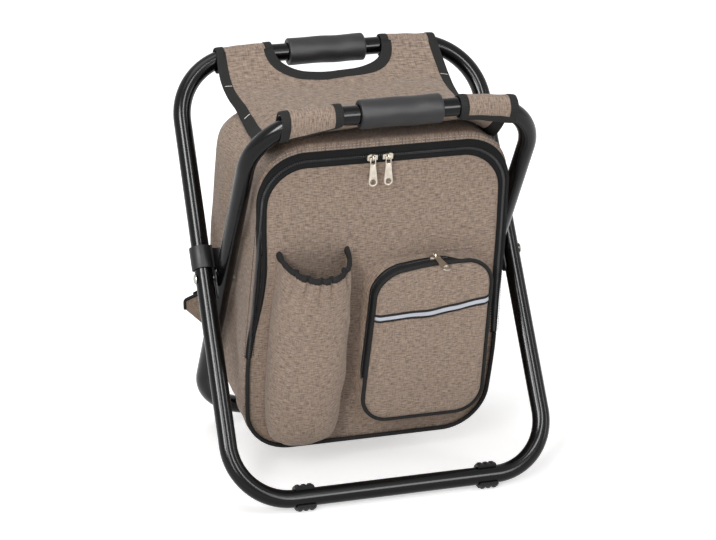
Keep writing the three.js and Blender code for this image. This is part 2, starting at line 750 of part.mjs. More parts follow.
/** Sizes of the bottle pocket from its bottom to its rim. Its bottom hangs over the piping. */
function bottleStations() {
  const tall = BOTTLE_RIM - BOTTLE_RIM_DIP - BOTTLE_BOTTOM;
  const overPiping = PIPING_D + 2 * FIT;
  return [
    { v: BOTTLE_BOTTOM, half: BOTTLE_HALF - 18, depth: BOTTLE_DEPTH - 32, back: overPiping },
    { v: BOTTLE_BOTTOM + 7, half: BOTTLE_HALF - 8, depth: BOTTLE_DEPTH - 22, back: overPiping },
    { v: BOTTLE_BOTTOM + 26, half: BOTTLE_HALF - 2, depth: BOTTLE_DEPTH - 15, back: FIT },
    { v: BOTTLE_BOTTOM + tall * 0.35, half: BOTTLE_HALF, depth: BOTTLE_DEPTH - 10, back: FIT },
    { v: BOTTLE_BOTTOM + tall * 0.7, half: BOTTLE_HALF, depth: BOTTLE_DEPTH - 5, back: FIT },
    { v: BOTTLE_BOTTOM + tall * 0.92, half: BOTTLE_HALF - 2.5, depth: BOTTLE_DEPTH - 1, back: FIT },
  ];
}

/** The pocket's rim, which dips at the front, raised by a given height. */
function bottleRim(rise, inset) {
  const station = { v: BOTTLE_RIM + rise, half: BOTTLE_HALF - 5, depth: BOTTLE_DEPTH, back: FIT };
  return bottleRing(station, inset, BOTTLE_RIM_DIP);
}

/** Bottle pocket: a pouch open at the top. */
function bottlePocket() {
  const stations = bottleStations();
  const outside = stations.map((station) => bottleRing(station, 0));
  const inside = stations.map((station, i) => {
    const v = i === 0 ? station.v + POCKET_WALL : station.v;
    return bottleRing({ ...station, v }, POCKET_WALL);
  });
  return loft([...outside, bottleRim(0, 0), bottleRim(0, POCKET_WALL), ...inside.reverse()]);
}

/** Elastic binding: a round edge along the bottle pocket's rim. */
function bottleElastic() {
  const path = bottleRim(ELASTIC_D / 2 + FIT, ELASTIC_D / 2);
  const sides = 8;
  const count = path.length;
  const rings = path.map((p, i) => {
    const before = path[(i + count - 1) % count];
    const after = path[(i + 1) % count];
    const along = after.clone().sub(before).normalize();
    const up = new THREE.Vector3(0, 0, 1);
    const side = along.clone().cross(up).normalize();
    const rest = side.clone().cross(along).normalize();
    return Array.from({ length: sides }, (_, k) => {
      const angle = (2 * Math.PI * (k + 0.5)) / sides;
      return p.clone()
        .addScaledVector(side, (ELASTIC_D / 2) * Math.cos(angle))
        .addScaledVector(rest, (ELASTIC_D / 2) * Math.sin(angle));
    });
  });
  return loft(rings, true);
}

/** Outline of the zip pocket on the front panel. */
const pocketOutline = {
  left: POCKET_LEFT,
  right: POCKET_RIGHT,
  bottom: POCKET_BOTTOM,
  top: POCKET_TOP,
  radius: POCKET_CORNER,
};

/** Zip pocket: a gusseted tray with a rounded face, open against the panel. */
function zipPocket() {
  const ring = (w, inset) => roundedOutline(offset(pocketOutline, -inset))
    .map(([x, v]) => new THREE.Vector3(x, w, v));
  const shell = (inset) => {
    const radius = POCKET_EDGE - inset;
    return [90, 60, 30, 0].map((degrees) => {
      const angle = THREE.MathUtils.degToRad(degrees);
      const w = -POCKET_DEPTH + POCKET_EDGE - radius * Math.sin(angle);
      return ring(w, inset + radius * (1 - Math.cos(angle)));
    });
  };
  const outside = [...shell(0), ring(-FIT, 0)];
  const inside = [...shell(POCKET_WALL), ring(-FIT, POCKET_WALL)];
  return loft([...outside, ...inside.reverse()]);
}

/** Flat strap through points, square to a given facing direction, with its ends capped. */
function strap(points, facing, width, thickness) {
  const rings = points.map((p, i) => {
    const before = points[Math.max(i - 1, 0)];
    const after = points[Math.min(i + 1, points.length - 1)];
    const along = after.clone().sub(before).normalize();
    const across = along.clone().cross(facing).normalize();
    const normal = across.clone().cross(along).normalize();
    return [[-1, -1], [1, -1], [1, 1], [-1, 1]].map(([a, b]) => p.clone()
      .addScaledVector(across, (a * width) / 2)
      .addScaledVector(normal, (b * thickness) / 2));
  });
  return loft(rings);
}

/** Shoulder pad: a slab with round ends whose outer face is crowned. */
function strapPad(side) {
  const radius = STRAP_WIDTH * 0.3;
  const outline = {
    left: side * STRAP_X - STRAP_WIDTH / 2,
    right: side * STRAP_X + STRAP_WIDTH / 2,
    bottom: STRAP_END,
    top: STRAP_TOP,
    radius,
  };
  const back = BAG_DEPTH + FIT;
  const layers = [[0, 1.5], [0.35, 0], [0.75, 2], [1, 8]];
  const rings = layers.map(([share, inset]) => roundedOutline(offset(outline, -inset))
    .map(([x, v]) => new THREE.Vector3(x, back + share * STRAP_PAD, v)));
  return loft(rings);
}

/** Ladder-lock buckle: a plastic frame with two slots. */
function buckle(side) {
  const x = side * STRAP_X;
  const v = STRAP_END - FIT - BUCKLE_HEIGHT / 2;
  const shape = new THREE.Shape(flat(roundedOutline({
    left: x - BUCKLE_WIDTH / 2,
    right: x + BUCKLE_WIDTH / 2,
    bottom: v - BUCKLE_HEIGHT / 2,
    top: v + BUCKLE_HEIGHT / 2,
    radius: BUCKLE_BAR,
  }, 3)));
  const slot = (BUCKLE_HEIGHT - 3 * BUCKLE_BAR) / 2;
  for (const step of [-1, 1]) {
    const middle = v + (step * (slot + BUCKLE_BAR)) / 2;
    const half = BUCKLE_WIDTH / 2 - BUCKLE_BAR;
    shape.holes.push(new THREE.Path(flat([
      [x - half, middle - slot / 2],
      [x - half, middle + slot / 2],
      [x + half, middle + slot / 2],
      [x + half, middle - slot / 2],
    ])));
  }
  return alongY(shape, BAG_DEPTH + FIT, BAG_DEPTH + FIT + BUCKLE);
}

/** Side of the bag at a depth inside its rounded back edge. */
function bagSideAt(w) {
  const past = Math.max(w - (BAG_DEPTH - BAG_BACK_ROUND), 0);
  return BAG_HALF - BAG_BACK_ROUND + Math.sqrt(BAG_BACK_ROUND ** 2 - past ** 2);
}

/** Anchor tab: a stitched triangle that stands out from the bag's back edge. */
function anchorTab(side) {
  const w = BAG_DEPTH - TAB_FROM_BACK;
  const base = bagSideAt(w - TAB / 2) + FIT;
  const tip = BAG_HALF + TAB_OUT;
  const blunt = 5;
  const shape = new THREE.Shape(flat([
    [side * base, TAB_V - TAB_HEIGHT / 2],
    [side * tip, TAB_V + TAB_TIP_RISE - blunt],
    [side * tip, TAB_V + TAB_TIP_RISE + blunt],
    [side * base, TAB_V + TAB_HEIGHT / 2],
  ]));
  return alongY(shape, w - TAB / 2, w + TAB / 2);
}

/** Webbing from the buckle's lower end round the back edge to the tab's tip. */
function webbing(side) {
  const tabW = BAG_DEPTH - TAB_FROM_BACK + TAB / 2 + FIT + WEBBING;
  const low = STRAP_END - FIT - BUCKLE_HEIGHT - FIT;
  const off = BAG_DEPTH + FIT + WEBBING;
  const tipX = BAG_HALF + TAB_OUT - WEBBING_WIDTH / 2;
  const tipV = TAB_V + TAB_TIP_RISE;
  const places = [
    [STRAP_X, off, low],
    [STRAP_X, off, low - WEBBING_WIDTH],
    [BAG_HALF - BAG_BACK_ROUND + WEBBING_WIDTH / 2, off, low - 1.8 * WEBBING_WIDTH],
    [tipX, tabW, tipV],
  ];
  const points = places.map(([x, w, v]) => new THREE.Vector3(side * x, w, v));
  return strap(points, new THREE.Vector3(0, 1, 0), WEBBING_WIDTH, WEBBING);
}

// Frame loops, leaning opposite ways about the rivets
const outerLoop = new THREE.Group();
outerLoop.position.set(0, 0, PIVOT_Z);
outerLoop.rotation.x = -LEAN;
const innerLoop = new THREE.Group();
innerLoop.position.set(0, 0, PIVOT_Z);
innerLoop.rotation.x = LEAN;
stool.add(outerLoop, innerLoop);

const outerTop = OUTER_WIDTH - OUTER_TAPER / 2;
const outerBottom = OUTER_WIDTH + OUTER_TAPER / 2;
const outerTube = frameLoop(outerBottom, outerTop, FLOOR_BEND_RADIUS);
const innerTube = frameLoop(INNER_WIDTH, INNER_WIDTH, BEND_RADIUS);
piece(outerLoop, 'outer_frame_tube', outerTube, 'powder_coat');
piece(innerLoop, 'inner_frame_tube', innerTube, 'powder_coat');

piece(outerLoop, 'grip_back', grip(), 'foam_grip').position.z = LEG_REACH;
piece(innerLoop, 'grip_front', grip(), 'foam_grip').position.z = LEG_REACH;

const backSleeve = sleeve(outerTop);
const frontSleeve = sleeve(INNER_WIDTH);
for (const [loop, made, place] of [[outerLoop, backSleeve, 'back'], [innerLoop, frontSleeve, 'front']]) {
  piece(loop, `sling_sleeve_${place}_right`, made.geometry, 'melange');
  piece(loop, `sling_sleeve_${place}_left`, made.geometry, 'melange').rotation.z = Math.PI;
}
piece(stool, 'seat_sling', sling(frontSleeve.drop, backSleeve.drop), 'melange');

const footFrontX = straightHalf(outerBottom, outerTop, FLOOR_BEND_RADIUS) - FOOT_LENGTH / 2;
const footBackX = straightHalf(INNER_WIDTH, INNER_WIDTH, BEND_RADIUS) - FOOT_LENGTH / 2;
for (const [name, side] of [['left', -1], ['right', 1]]) {
  const front = piece(stool, `foot_front_${name}`, foot(), 'plastic');
  front.position.set(side * footFrontX, -RAIL_SPREAD / 2, RAIL_Z);
  const back = piece(stool, `foot_back_${name}`, foot(), 'plastic');
  back.position.set(side * footBackX, RAIL_SPREAD / 2, RAIL_Z);
  back.rotation.z = Math.PI;
  const turn = side < 0 ? Math.PI : 0;
  const pin = piece(outerLoop, `pivot_rivet_${name}`, rivet(), 'steel');
  pin.rotation.z = turn;
  const washer = piece(outerLoop, `pivot_spacer_${name}`, spacer(), 'plastic');
  washer.rotation.z = turn;
}
piece(outerLoop, 'fold_clip', foldClip(), 'plastic');

// Bag, hanging tilted under the seat
const bag = new THREE.Group();
bag.position.set(0, -BAG_REACH, PIVOT_Z);
bag.rotation.x = TILT;
stool.add(bag);

const zipLine = {
  left: -BAG_HALF + ZIP_SIDE,
  right: BAG_HALF - ZIP_SIDE,
  bottom: -BAG_BOTTOM + ZIP_BOTTOM,
  top: BAG_TOP - ZIP_TOP,
  radius: ZIP_CORNER,
};
const mouth = offset(zipLine, FIT);
piece(bag, 'bag_shell', bagLayer(0, FABRIC, 0, mouth), 'melange');
piece(bag, 'bag_insulation', bagLayer(FABRIC + FIT, FOAM, PANEL_STACK + FIT), 'insulation');
piece(bag, 'bag_lining', bagLayer(FABRIC + FOAM + 2 * FIT, LINING, PANEL_STACK + FIT), 'foil');

const panelShape = new THREE.Shape(flat(roundedOutline(offset(zipLine, -FIT))));
const foamStart = FABRIC + FIT;
const liningStart = foamStart + FOAM + FIT;
piece(bag, 'front_panel', alongY(panelShape, 0, FABRIC), 'melange');
piece(bag, 'front_insulation', alongY(panelShape, foamStart, foamStart + FOAM), 'insulation');
piece(bag, 'front_lining', alongY(panelShape, liningStart, liningStart + LINING), 'foil');

/** Zip tape between two distances outside the zip line. */
function zipTape(inside, outside) {
  const outer = overTop(offset(zipLine, outside), ZIP_END, ZIP_END);
  const inner = overTop(offset(zipLine, inside), ZIP_END, ZIP_END);
  return alongY(ribbon(outer, inner), -FIT - TAPE, -FIT);
}
piece(bag, 'zip_tape_bag', zipTape(ZIP_GAP, ZIP_GAP + TAPE_WIDTH), 'binding');
piece(bag, 'zip_tape_panel', zipTape(-ZIP_GAP - TAPE_WIDTH, -ZIP_GAP), 'binding');

const pipingRadius = PIPING_D / 2;
const pipingY = -FIT - pipingRadius;
const pipingEnd = ZIP_END - FIT;
const pipingPath = underBottom(offset(zipLine, FIT), pipingEnd, pipingEnd);
piece(bag, 'front_piping', planarTube(pipingPath, pipingRadius, pipingY, { sides: 8 }), 'binding');

const slider = zipSlider();
for (const [name, x] of [['left', SLIDER_LEFT_X], ['right', SLIDER_RIGHT_X]]) {
  const body = piece(bag, `zip_slider_${name}`, slider.geometry, 'zinc');
  body.position.set(x, 0, zipLine.top);
  if (x < SLIDER_RIGHT_X) {
    body.rotation.y = Math.PI;
  }
  const pull = piece(bag, `zip_pull_${name}`, zipPull(), 'zinc');
  pull.position.set(x, slider.face - PULL_SWING, zipLine.top);
  pull.rotation.x = -TILT;
}

piece(bag, 'bottle_pocket', bottlePocket(), 'melange');
piece(bag, 'bottle_pocket_elastic', bottleElastic(), 'binding');

piece(bag, 'zip_pocket', zipPocket(), 'melange');

/** Path up the pocket's left side and along its top. */
function pocketZipPath(out) {
  const { left, top, radius } = offset(pocketOutline, out);
  return [
    [left, POCKET_TAPE_END_LEFT],
    ...arc(left + radius, top - radius, radius, 180, 90, CORNER_STEPS),
    [POCKET_TAPE_END_RIGHT - POCKET_CORNER, top],
  ];
}
const pocketTape = ribbon(pocketZipPath(FIT + TAPE), pocketZipPath(FIT));
const tapeFront = -POCKET_TAPE_BACK - POCKET_TAPE_WIDTH;
piece(bag, 'pocket_zip_tape', alongY(pocketTape, tapeFront, -POCKET_TAPE_BACK), 'binding');

/** Path from the zip's right end down the pocket's right side and along its bottom. */
function bindingPath() {
  const { left, right, bottom, top, radius } = offset(pocketOutline, FIT + BINDING_D / 2);
  const zipEnd = POCKET_TAPE_END_RIGHT - POCKET_CORNER + FIT;
  return [
    [zipEnd, top],
    ...arc(right - radius, top - radius, radius, 90, 0, CORNER_STEPS),
    ...arc(right - radius, bottom + radius, radius, 0, -90, CORNER_STEPS),
    ...arc(left + radius, bottom + radius, radius, -90, -180, CORNER_STEPS),
    [left, POCKET_TAPE_END_LEFT - FIT],
  ];
}
const bindingY = -POCKET_DEPTH + POCKET_EDGE + BINDING_D / 2;
piece(bag, 'pocket_binding', planarTube(bindingPath(), BINDING_D / 2, bindingY, { sides: 8 }), 'binding');

const stripFront = -POCKET_DEPTH - FIT - STRIP;
piece(bag, 'reflective_strip', block(
  [POCKET_LEFT + POCKET_EDGE, stripFront, STRIP_V - STRIP_HEIGHT / 2],
  [POCKET_RIGHT - POCKET_EDGE, stripFront + STRIP, STRIP_V + STRIP_HEIGHT / 2],
), 'reflective');

// The pocket's slider rides on the top of the gusset, turned so that its bail leans forwards
const pocketSlider = piece(bag, 'pocket_zip_slider', slider.geometry, 'zinc');
const pocketSliderW = tapeFront + POCKET_TAPE_WIDTH / 2;
pocketSlider.position.set(POCKET_SLIDER_X, pocketSliderW, POCKET_TOP);
pocketSlider.rotation.x = -Math.PI / 2;
const pocketPull = piece(bag, 'pocket_zip_pull', zipPull(), 'zinc');
pocketPull.position.set(POCKET_SLIDER_X, pocketSliderW, POCKET_TOP - slider.face + PULL_SWING);
pocketPull.rotation.x = THREE.MathUtils.degToRad(POCKET_PULL_DROP) - Math.PI / 2;
pocketPull.rotation.y = -THREE.MathUtils.degToRad(POCKET_PULL_LEAN);

for (const [name, side] of [['left', -1], ['right', 1]]) {
  piece(bag, `strap_pad_${name}`, strapPad(side), 'melange');
  piece(bag, `strap_buckle_${name}`, buckle(side), 'plastic');
  piece(bag, `strap_webbing_${name}`, webbing(side), 'binding');
  piece(bag, `strap_tab_${name}`, anchorTab(side), 'melange');
}

export default stool;
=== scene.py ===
"""Folding cooler stool: the looks of its tube frame, its cloth seat and its insulated bag.

Shapes are worked out in millimetres, across (X), back (Y) and up (Z), and put into meshes in metres.
"""

import math

import bmesh
import bpy
import numpy as np
from mathutils import Matrix
from mathutils import Vector


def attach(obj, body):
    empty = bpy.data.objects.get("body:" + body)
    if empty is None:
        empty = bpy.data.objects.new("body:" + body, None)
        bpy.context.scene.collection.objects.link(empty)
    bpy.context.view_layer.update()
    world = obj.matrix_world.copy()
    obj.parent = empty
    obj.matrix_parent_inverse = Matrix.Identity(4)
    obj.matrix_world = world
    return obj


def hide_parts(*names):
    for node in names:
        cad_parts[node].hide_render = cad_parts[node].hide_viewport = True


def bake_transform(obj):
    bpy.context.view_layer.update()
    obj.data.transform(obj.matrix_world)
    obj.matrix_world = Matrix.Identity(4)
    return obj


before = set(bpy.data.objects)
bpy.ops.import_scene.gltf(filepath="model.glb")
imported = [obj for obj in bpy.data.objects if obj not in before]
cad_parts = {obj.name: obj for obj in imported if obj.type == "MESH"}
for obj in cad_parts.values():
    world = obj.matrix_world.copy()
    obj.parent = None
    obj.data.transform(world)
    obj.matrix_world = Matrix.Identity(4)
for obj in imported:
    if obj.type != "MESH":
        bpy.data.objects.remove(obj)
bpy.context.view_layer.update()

MM = 0.001
SIDES = (("left", -1), ("right", 1))

# Camera: place, yaw, pitch and roll in degrees, and lens, fitted to the frame's rails, legs and rivets
CAMERA_PLACE = (-765.9, -2451.7, 1103.0)
CAMERA_TURN = (17.30, 19.19, 0.226)
CAMERA_LENS = 127.64

# Tube frame
TUBE_R = 9.5
RAIL_SPREAD = 262.0
RAIL_RISE = 408.0
RAIL_LOW = 12.5
INNER_WIDTH = 300.0
OUTER_LOW_WIDTH = 347.0
OUTER_HIGH_WIDTH = 338.0
BEND = 70.0
FLOOR_BEND = 62.0
FOOT_FRONT_X = 100.4
FOOT_BACK_X = 69.5
PIVOT_Z = RAIL_LOW + RAIL_RISE / 2
RAIL_HIGH = RAIL_LOW + RAIL_RISE
LEAN = math.atan2(RAIL_SPREAD, RAIL_RISE)
LEG_REACH = math.hypot(RAIL_SPREAD, RAIL_RISE) / 2

# Seat
SLING_HALF = 123.5
SLING_WAIST = 1.0
CUT_HALF = 62.0
CUT_DEPTH = 36.0
CUT_SQUARE = 2.7
SLEEVE_R = 11.6
SLEEVE_MEET = math.radians(40)
# Each sleeve's hang below its rail at the cut-out and at its outer end, and how far its top sinks there
SLEEVE_HANG = {("front", -1): (-1.5, 15.2, 5.0), ("front", 1): (0.6, 13.3, 6.9),
               ("back", -1): (0.6, 6.3, 2.6), ("back", 1): (0.6, 6.3, 2.6)}
DROOP_FROM = 82.0
DROOP = 16.5
DROOP_CORNER = 4.0
CLOTH = 1.4
BINDING_THICK = 3.0

# Bag, in its own tilted frame: across, back from its front face, up
BAG_TILT = math.radians(10)
BAG_REACH = 61.3
BAG_HALF = 133.7
BAG_TOP = 168.0
BAG_FALL = 18.0
BAG_BOTTOM = -194.0
BAG_DEPTH = 170.0
BAG_CORNER = 52.0
BAG_BACK_ROUND = 42.0
PANEL_PUFF = 3.2
# Outlines on the bag: left, right, bottom, top, corner
ZIP_LINE = (-129.7, 129.7, -190.0, 149.0, 46.0)
ZIP_END = -76.0
BOTTLE_X = -78.0
POCKET = (-18.5, 118.0, -156.0, 29.0, 30.0)
POCKET_DEPTH = 28.0
POCKET_EDGE = 8.0
STRAP_X = 62.0
PAD_OUTLINE = (-27.0, 27.0, -7.5, 103.5, 16.5)
PAD_MIDDLE = 48.0
PAD_DEPTH = 174.0
TAB_BASE = (129.9, -137.0, -69.0)
TAB_TIP = (169.7, -96.0, -86.0)

# The crossed legs press the bag's sides in along their way, and the full bag bulges clear of them:
# heights on the bag, with how far its front edges and its back edges stand out there
BULGE_UP = np.array([-190.0, -150.0, -110.0, -73.0, -49.0, -22.0, 3.0, 36.0, 74.0, 120.0, 160.0])
BULGE_FRONT_LEFT = np.array([5.0, 6.0, 8.0, 8.5, 5.5, 0.5, -3.0, -3.5, 0.0, 0.0, 0.0])
BULGE_FRONT_RIGHT = np.array([0.0, 2.5, 5.5, 6.5, 5.2, 4.0, 4.0, 4.5, 3.0, 1.0, 0.0])
BULGE_BACK = np.array([0.0, 0.0, 3.5, 8.0, 9.5, 11.0, 12.0, 11.5, 11.0, 9.5, 7.0])

FRONT = np.array([0.0, -math.cos(BAG_TILT), -math.sin(BAG_TILT)])
UP = np.array([0.0, 0.0, 1.0])


# Camera

def aim_camera(place, yaw, pitch, roll, lens):
    """Camera looking along a heading turned from +Y by yaw and down by pitch, rolled about that line."""
    yaw, pitch, roll = np.radians([yaw, pitch, roll])
    ahead = np.array([math.sin(yaw) * math.cos(pitch), math.cos(yaw) * math.cos(pitch), -math.sin(pitch)])
    level = np.array([math.cos(yaw), -math.sin(yaw), 0.0])
    upright = np.cross(level, ahead)
    right = math.cos(roll) * level + math.sin(roll) * upright
    top = math.cos(roll) * upright - math.sin(roll) * level
    data = bpy.data.cameras.new("camera")
    data.sensor_width = 36.0
    data.sensor_fit = "HORIZONTAL"
    data.lens = lens
    camera = bpy.data.objects.new("camera", data)
    turn = Matrix(np.column_stack([right, top, -ahead]).tolist())
    camera.matrix_world = Matrix.Translation(Vector(place) * MM) @ turn.to_4x4()
    bpy.context.collection.objects.link(camera)
    bpy.context.scene.camera = camera


aim_camera(CAMERA_PLACE, *CAMERA_TURN, CAMERA_LENS)
bpy.context.scene.view_settings.view_transform = "Standard"


# Finishes

def tone(code):
    """An sRGB hex colour as linear red, green and blue with full cover."""
    parts = np.array([int(code[i:i + 2], 16) for i in (0, 2, 4)]) / 255
    linear = np.where(parts <= 0.04045, parts / 12.92, ((parts + 0.055) / 1.055) ** 2.4)
    return (*linear.tolist(), 1.0)


def fill(tree, node, sockets):
    """Gives a node's input sockets their values, or links them to other nodes' outputs."""
    for name, value in sockets.items():
        if isinstance(value, bpy.types.NodeSocket):
            tree.links.new(value, node.inputs[name])
        else:
            node.inputs[name].default_value = value


def add(tree, kind, sockets=None, **settings):
    """Adds a node, applies its settings, and fills or links its input sockets."""
    node = tree.nodes.new(kind)
    for name, value in settings.items():
        setattr(node, name, value)
    fill(tree, node, sockets or {})
    return node


def begin(name, **constants):
    """A new material with its shader's constant sockets set, and the parts that patterns link to."""
    material = bpy.data.materials.new(name)
    material.use_nodes = True
    tree = material.node_tree
    shader = tree.nodes["Principled BSDF"]
    for socket, value in constants.items():
        shader.inputs[socket.replace("_", " ")].default_value = value
    return material, tree, shader


NOISE, CELLS = "ShaderNodeTexNoise", "ShaderNodeTexVoronoi"


def melange_cloth(name, dark, pale, on_cloth=True):
    """Melange polyester in a plain weave: flecked taupe yarns that read as linen, dull, with a faint sheen.

    Two stretched noises, one along each yarn direction, pick how dark each fleck is. The real yarns are
    about 0.4 mm apart, too fine to show, so the flecks are drawn 0.9 mm wide and 8 mm long.
    """
    material, tree, shader = begin(name, Roughness=0.92, IOR=1.45, Sheen_Weight=0.1, Sheen_Roughness=0.5)
    if on_cloth:
        place = add(tree, "ShaderNodeUVMap", uv_map="weave").outputs["UV"]
        weft_size, warp_size, patch_size = (0.13, 1.1, 1), (1.1, 0.13, 1), (0.3, 0.3, 1)
    else:
        place = add(tree, "ShaderNodeTexCoord").outputs["Object"]
        weft_size, warp_size, patch_size = (130, 600, 1100), (1100, 600, 130), (300, 300, 300)
    flecks = []
    for size, detail, rough in ((weft_size, 1.5, 0.6), (warp_size, 1.5, 0.6), (patch_size, 1.0, 0.5)):
        stretched = add(tree, "ShaderNodeMapping", {"Vector": place, "Scale": size}).outputs[0]
        noise = {"Vector": stretched, "Scale": 1.0, "Detail": detail, "Roughness": rough}
        flecks.append(add(tree, NOISE, noise).outputs["Fac"])
    weft, warp, patch = flecks
    warp_share, patch_share = 0.5, 0.25
    both = add(tree, "ShaderNodeMath", {0: warp, 1: warp_share, 2: weft}, operation="MULTIPLY_ADD")
    both = both.outputs[0]
    worn = add(tree, "ShaderNodeMath", {0: patch, 1: patch_share, 2: both}, operation="MULTIPLY_ADD")
    darks = {"Value": worn.outputs[0], "From Min": 0.58, "From Max": 1.17}
    share = add(tree, "ShaderNodeMapRange", darks).outputs[0]
    mix = add(tree, "ShaderNodeMix", {0: share, 6: tone(dark), 7: tone(pale)}, data_type="RGBA")
    bump = add(tree, "ShaderNodeBump", {"Height": both, "Strength": 0.4, "Distance": 0.0006})
    fill(tree, shader, {"Base Color": mix.outputs[2], "Normal": bump.outputs[0]})
    return material


def ribbed_tape(name, dark, pale, rib):
    """Woven black polyester tape: dull, ribbed across its length, with painted highlight: its colour is a
    little grey on the ribs' crests, where they would catch light.

    The ribs follow the piece's own length. Real ribs are about half as wide, too fine to show.
    """
    material, tree, shader = begin(name, Roughness=0.8, IOR=1.45, Specular_IOR_Level=0.2)
    place = add(tree, "ShaderNodeUVMap", uv_map="weave").outputs["UV"]
    along = add(tree, "ShaderNodeMapping", {"Vector": place, "Scale": (0.05, 1 / rib, 1)}).outputs[0]
    wave = {"Vector": along, "Scale": 0.32, "Distortion": 0.6, "Detail": 1.0}
    ribs = add(tree, "ShaderNodeTexWave", wave, bands_direction="Y").outputs["Fac"]
    fuzz = add(tree, NOISE, {"Vector": place, "Scale": 0.6, "Detail": 3.0}).outputs["Fac"]
    # Painted highlight: the pale tone is laid on the rib crests, broken up by a random fuzz
    share = add(tree, "ShaderNodeMath", {0: ribs, 1: fuzz}, operation="MULTIPLY").outputs[0]
    mix = add(tree, "ShaderNodeMix", {0: share, 6: tone(dark), 7: tone(pale)}, data_type="RGBA")
    bump = add(tree, "ShaderNodeBump", {"Height": ribs, "Strength": 0.4, "Distance": 0.0004})
    fill(tree, shader, {"Base Color": mix.outputs[2], "Normal": bump.outputs[0]})
    return material


def flecked(name, tint, tones=None, gloss=None, relief=None, **constants):
    """Material that varies by fine patterns in the object's own space, their scales counted to the metre.

    The tint pattern picks between two tones and, where gloss is given, between two roughnesses. The relief
    is a second pattern, with its strength and its height in metres. A pattern is a texture and its sockets.
    """
    material, tree, shader = begin(name, **constants)
    place = add(tree, "ShaderNodeTexCoord").outputs["Object"]
    share = add(tree, tint[0], {"Vector": place, **tint[1]}).outputs[0]
    if tones:
        mix = add(tree, "ShaderNodeMix", {0: share, 6: tone(tones[0]), 7: tone(tones[1])}, data_type="RGBA")
        fill(tree, shader, {"Base Color": mix.outputs[2]})
    if gloss:
        rough = add(tree, "ShaderNodeMapRange", {"Value": share, "To Min": gloss[0], "To Max": gloss[1]})
        fill(tree, shader, {"Roughness": rough.outputs[0]})
    if relief:
        kind, sockets, strength, high = relief
        height = add(tree, kind, {"Vector": place, **sockets}).outputs[0]
        bump = add(tree, "ShaderNodeBump", {"Height": height, "Strength": strength, "Distance": high})
        fill(tree, shader, {"Normal": bump.outputs[0]})
    return material


def plated_metal(name, tones, gloss):
    """Plated metal, cast or headed: a soft shine with slight clouding where hands rub it."""
    cloud = {"Scale": 260.0, "Detail": 4.0}
    return flecked(name, (NOISE, cloud), tones, gloss, (NOISE, cloud, 0.08, 0.0003), Metallic=1.0)


def sewing_thread(name, *tones):
    """Spun polyester thread: matt, with a faint twist."""
    return flecked(name, (NOISE, {"Scale": 900.0, "Detail": 1.0}), tones, Roughness=0.75, IOR=1.45)


MELANGE = melange_cloth("melange_polyester", "605048", "bba490")
PAD_CLOTH = melange_cloth("melange_pad_cloth", "605048", "bba490", on_cloth=False)
# Each tape's pale tone is painted highlight on its rib crests
BINDING = ribbed_tape("grosgrain_binding", "191818", "363534", 1.6)
WEBBING = ribbed_tape("polypropylene_webbing", "111112", "2a2a2c", 2.4)
ZIP_CLOTH = ribbed_tape("zip_tape_cloth", "09090a", "19191a", 1.2)
STEEL = plated_metal("nickelled_steel", ("8f8c87", "c4c1bb"), (0.25, 0.42))
ZINC = plated_metal("plated_zinc_casting", ("9a9184", "c9c2b6"), (0.24, 0.4))
WHITE_THREAD = sewing_thread("white_thread", "cfc8bd", "efeae0")
PALE_THREAD = sewing_thread("pale_thread", "b3a8a0", "d2c8c0")

# Baked black powder coat on steel tube: smooth gloss with long highlights and a fine orange peel
POWDER = flecked("black_powder_coat", (NOISE, {"Scale": 22.0, "Detail": 3.0}), gloss=(0.15, 0.21),
                 relief=(NOISE, {"Scale": 700.0, "Detail": 1.0}, 0.03, 0.0003),
                 Base_Color=tone("08080a"), IOR=1.5, Specular_IOR_Level=0.2)

# Closed-cell rubber foam, ground smooth: dull dark grey with a skin of fine open pores
FOAM_GRIP = flecked("closed_cell_foam", (NOISE, {"Scale": 60.0, "Detail": 4.0}), ("222123", "302f31"),
                    relief=(CELLS, {"Scale": 900.0}, 0.25, 0.0004),
                    Roughness=0.48, IOR=1.45, Specular_IOR_Level=0.32)

# Moulded black polypropylene: satin, with the fine spark texture of its mould
PLASTIC = flecked("moulded_polypropylene", (NOISE, {"Scale": 80.0, "Detail": 3.0}), ("0f0f10", "1d1d1e"),
                  (0.38, 0.55), (NOISE, {"Scale": 1500.0, "Detail": 2.0}, 0.15, 0.0003),
                  IOR=1.49, Specular_IOR_Level=0.28)

# Extruded black nylon monofilament: small hard shine on each turn of the coil
COIL = flecked("nylon_coil", (NOISE, {"Scale": 120.0, "Detail": 3.0}), ("121214", "29292c"),
               Roughness=0.32, IOR=1.53)

# Aluminised film on foam: silver, crinkled into small soft facets
FOIL = flecked("aluminised_film", (NOISE, {"Scale": 140.0, "Detail": 3.0}), ("a9adb2", "d3d6da"),
               (0.28, 0.46), (CELLS, {"Scale": 55.0}, 0.5, 0.002), Metallic=0.85)
FOIL.node_tree.nodes["Voronoi Texture"].feature = "SMOOTH_F1"

# Expanded polyethylene foam, cut: white, soft, with a skin of round cells
EPE = flecked("expanded_polyethylene", (CELLS, {"Scale": 420.0}), ("efede8", "d9d6cf"),
              relief=(CELLS, {"Scale": 420.0}, 0.3, 0.0006), Roughness=0.85, IOR=1.45)

# Reflective tape of glass beads on silver cloth: cool grey, finely grained, with a satin shine
BEADS = flecked("glass_bead_tape", (NOISE, {"Scale": 40.0, "Detail": 2.0}), ("adb0ba", "c6c9d2"),
                relief=(CELLS, {"Scale": 1300.0}, 0.2, 0.0003), Metallic=0.35, Roughness=0.38)


# Shape tools

def unit(vectors):
    """Vectors at length one."""
    return vectors / np.linalg.norm(vectors, axis=-1, keepdims=True)


def smooth(value, start, end):
    """Soft step from 0 at start to 1 at end: 3t squared less 2t cubed."""
    t = np.clip((np.asarray(value, float) - start) / (end - start), 0, 1)
    return t * t * (3 - 2 * t)


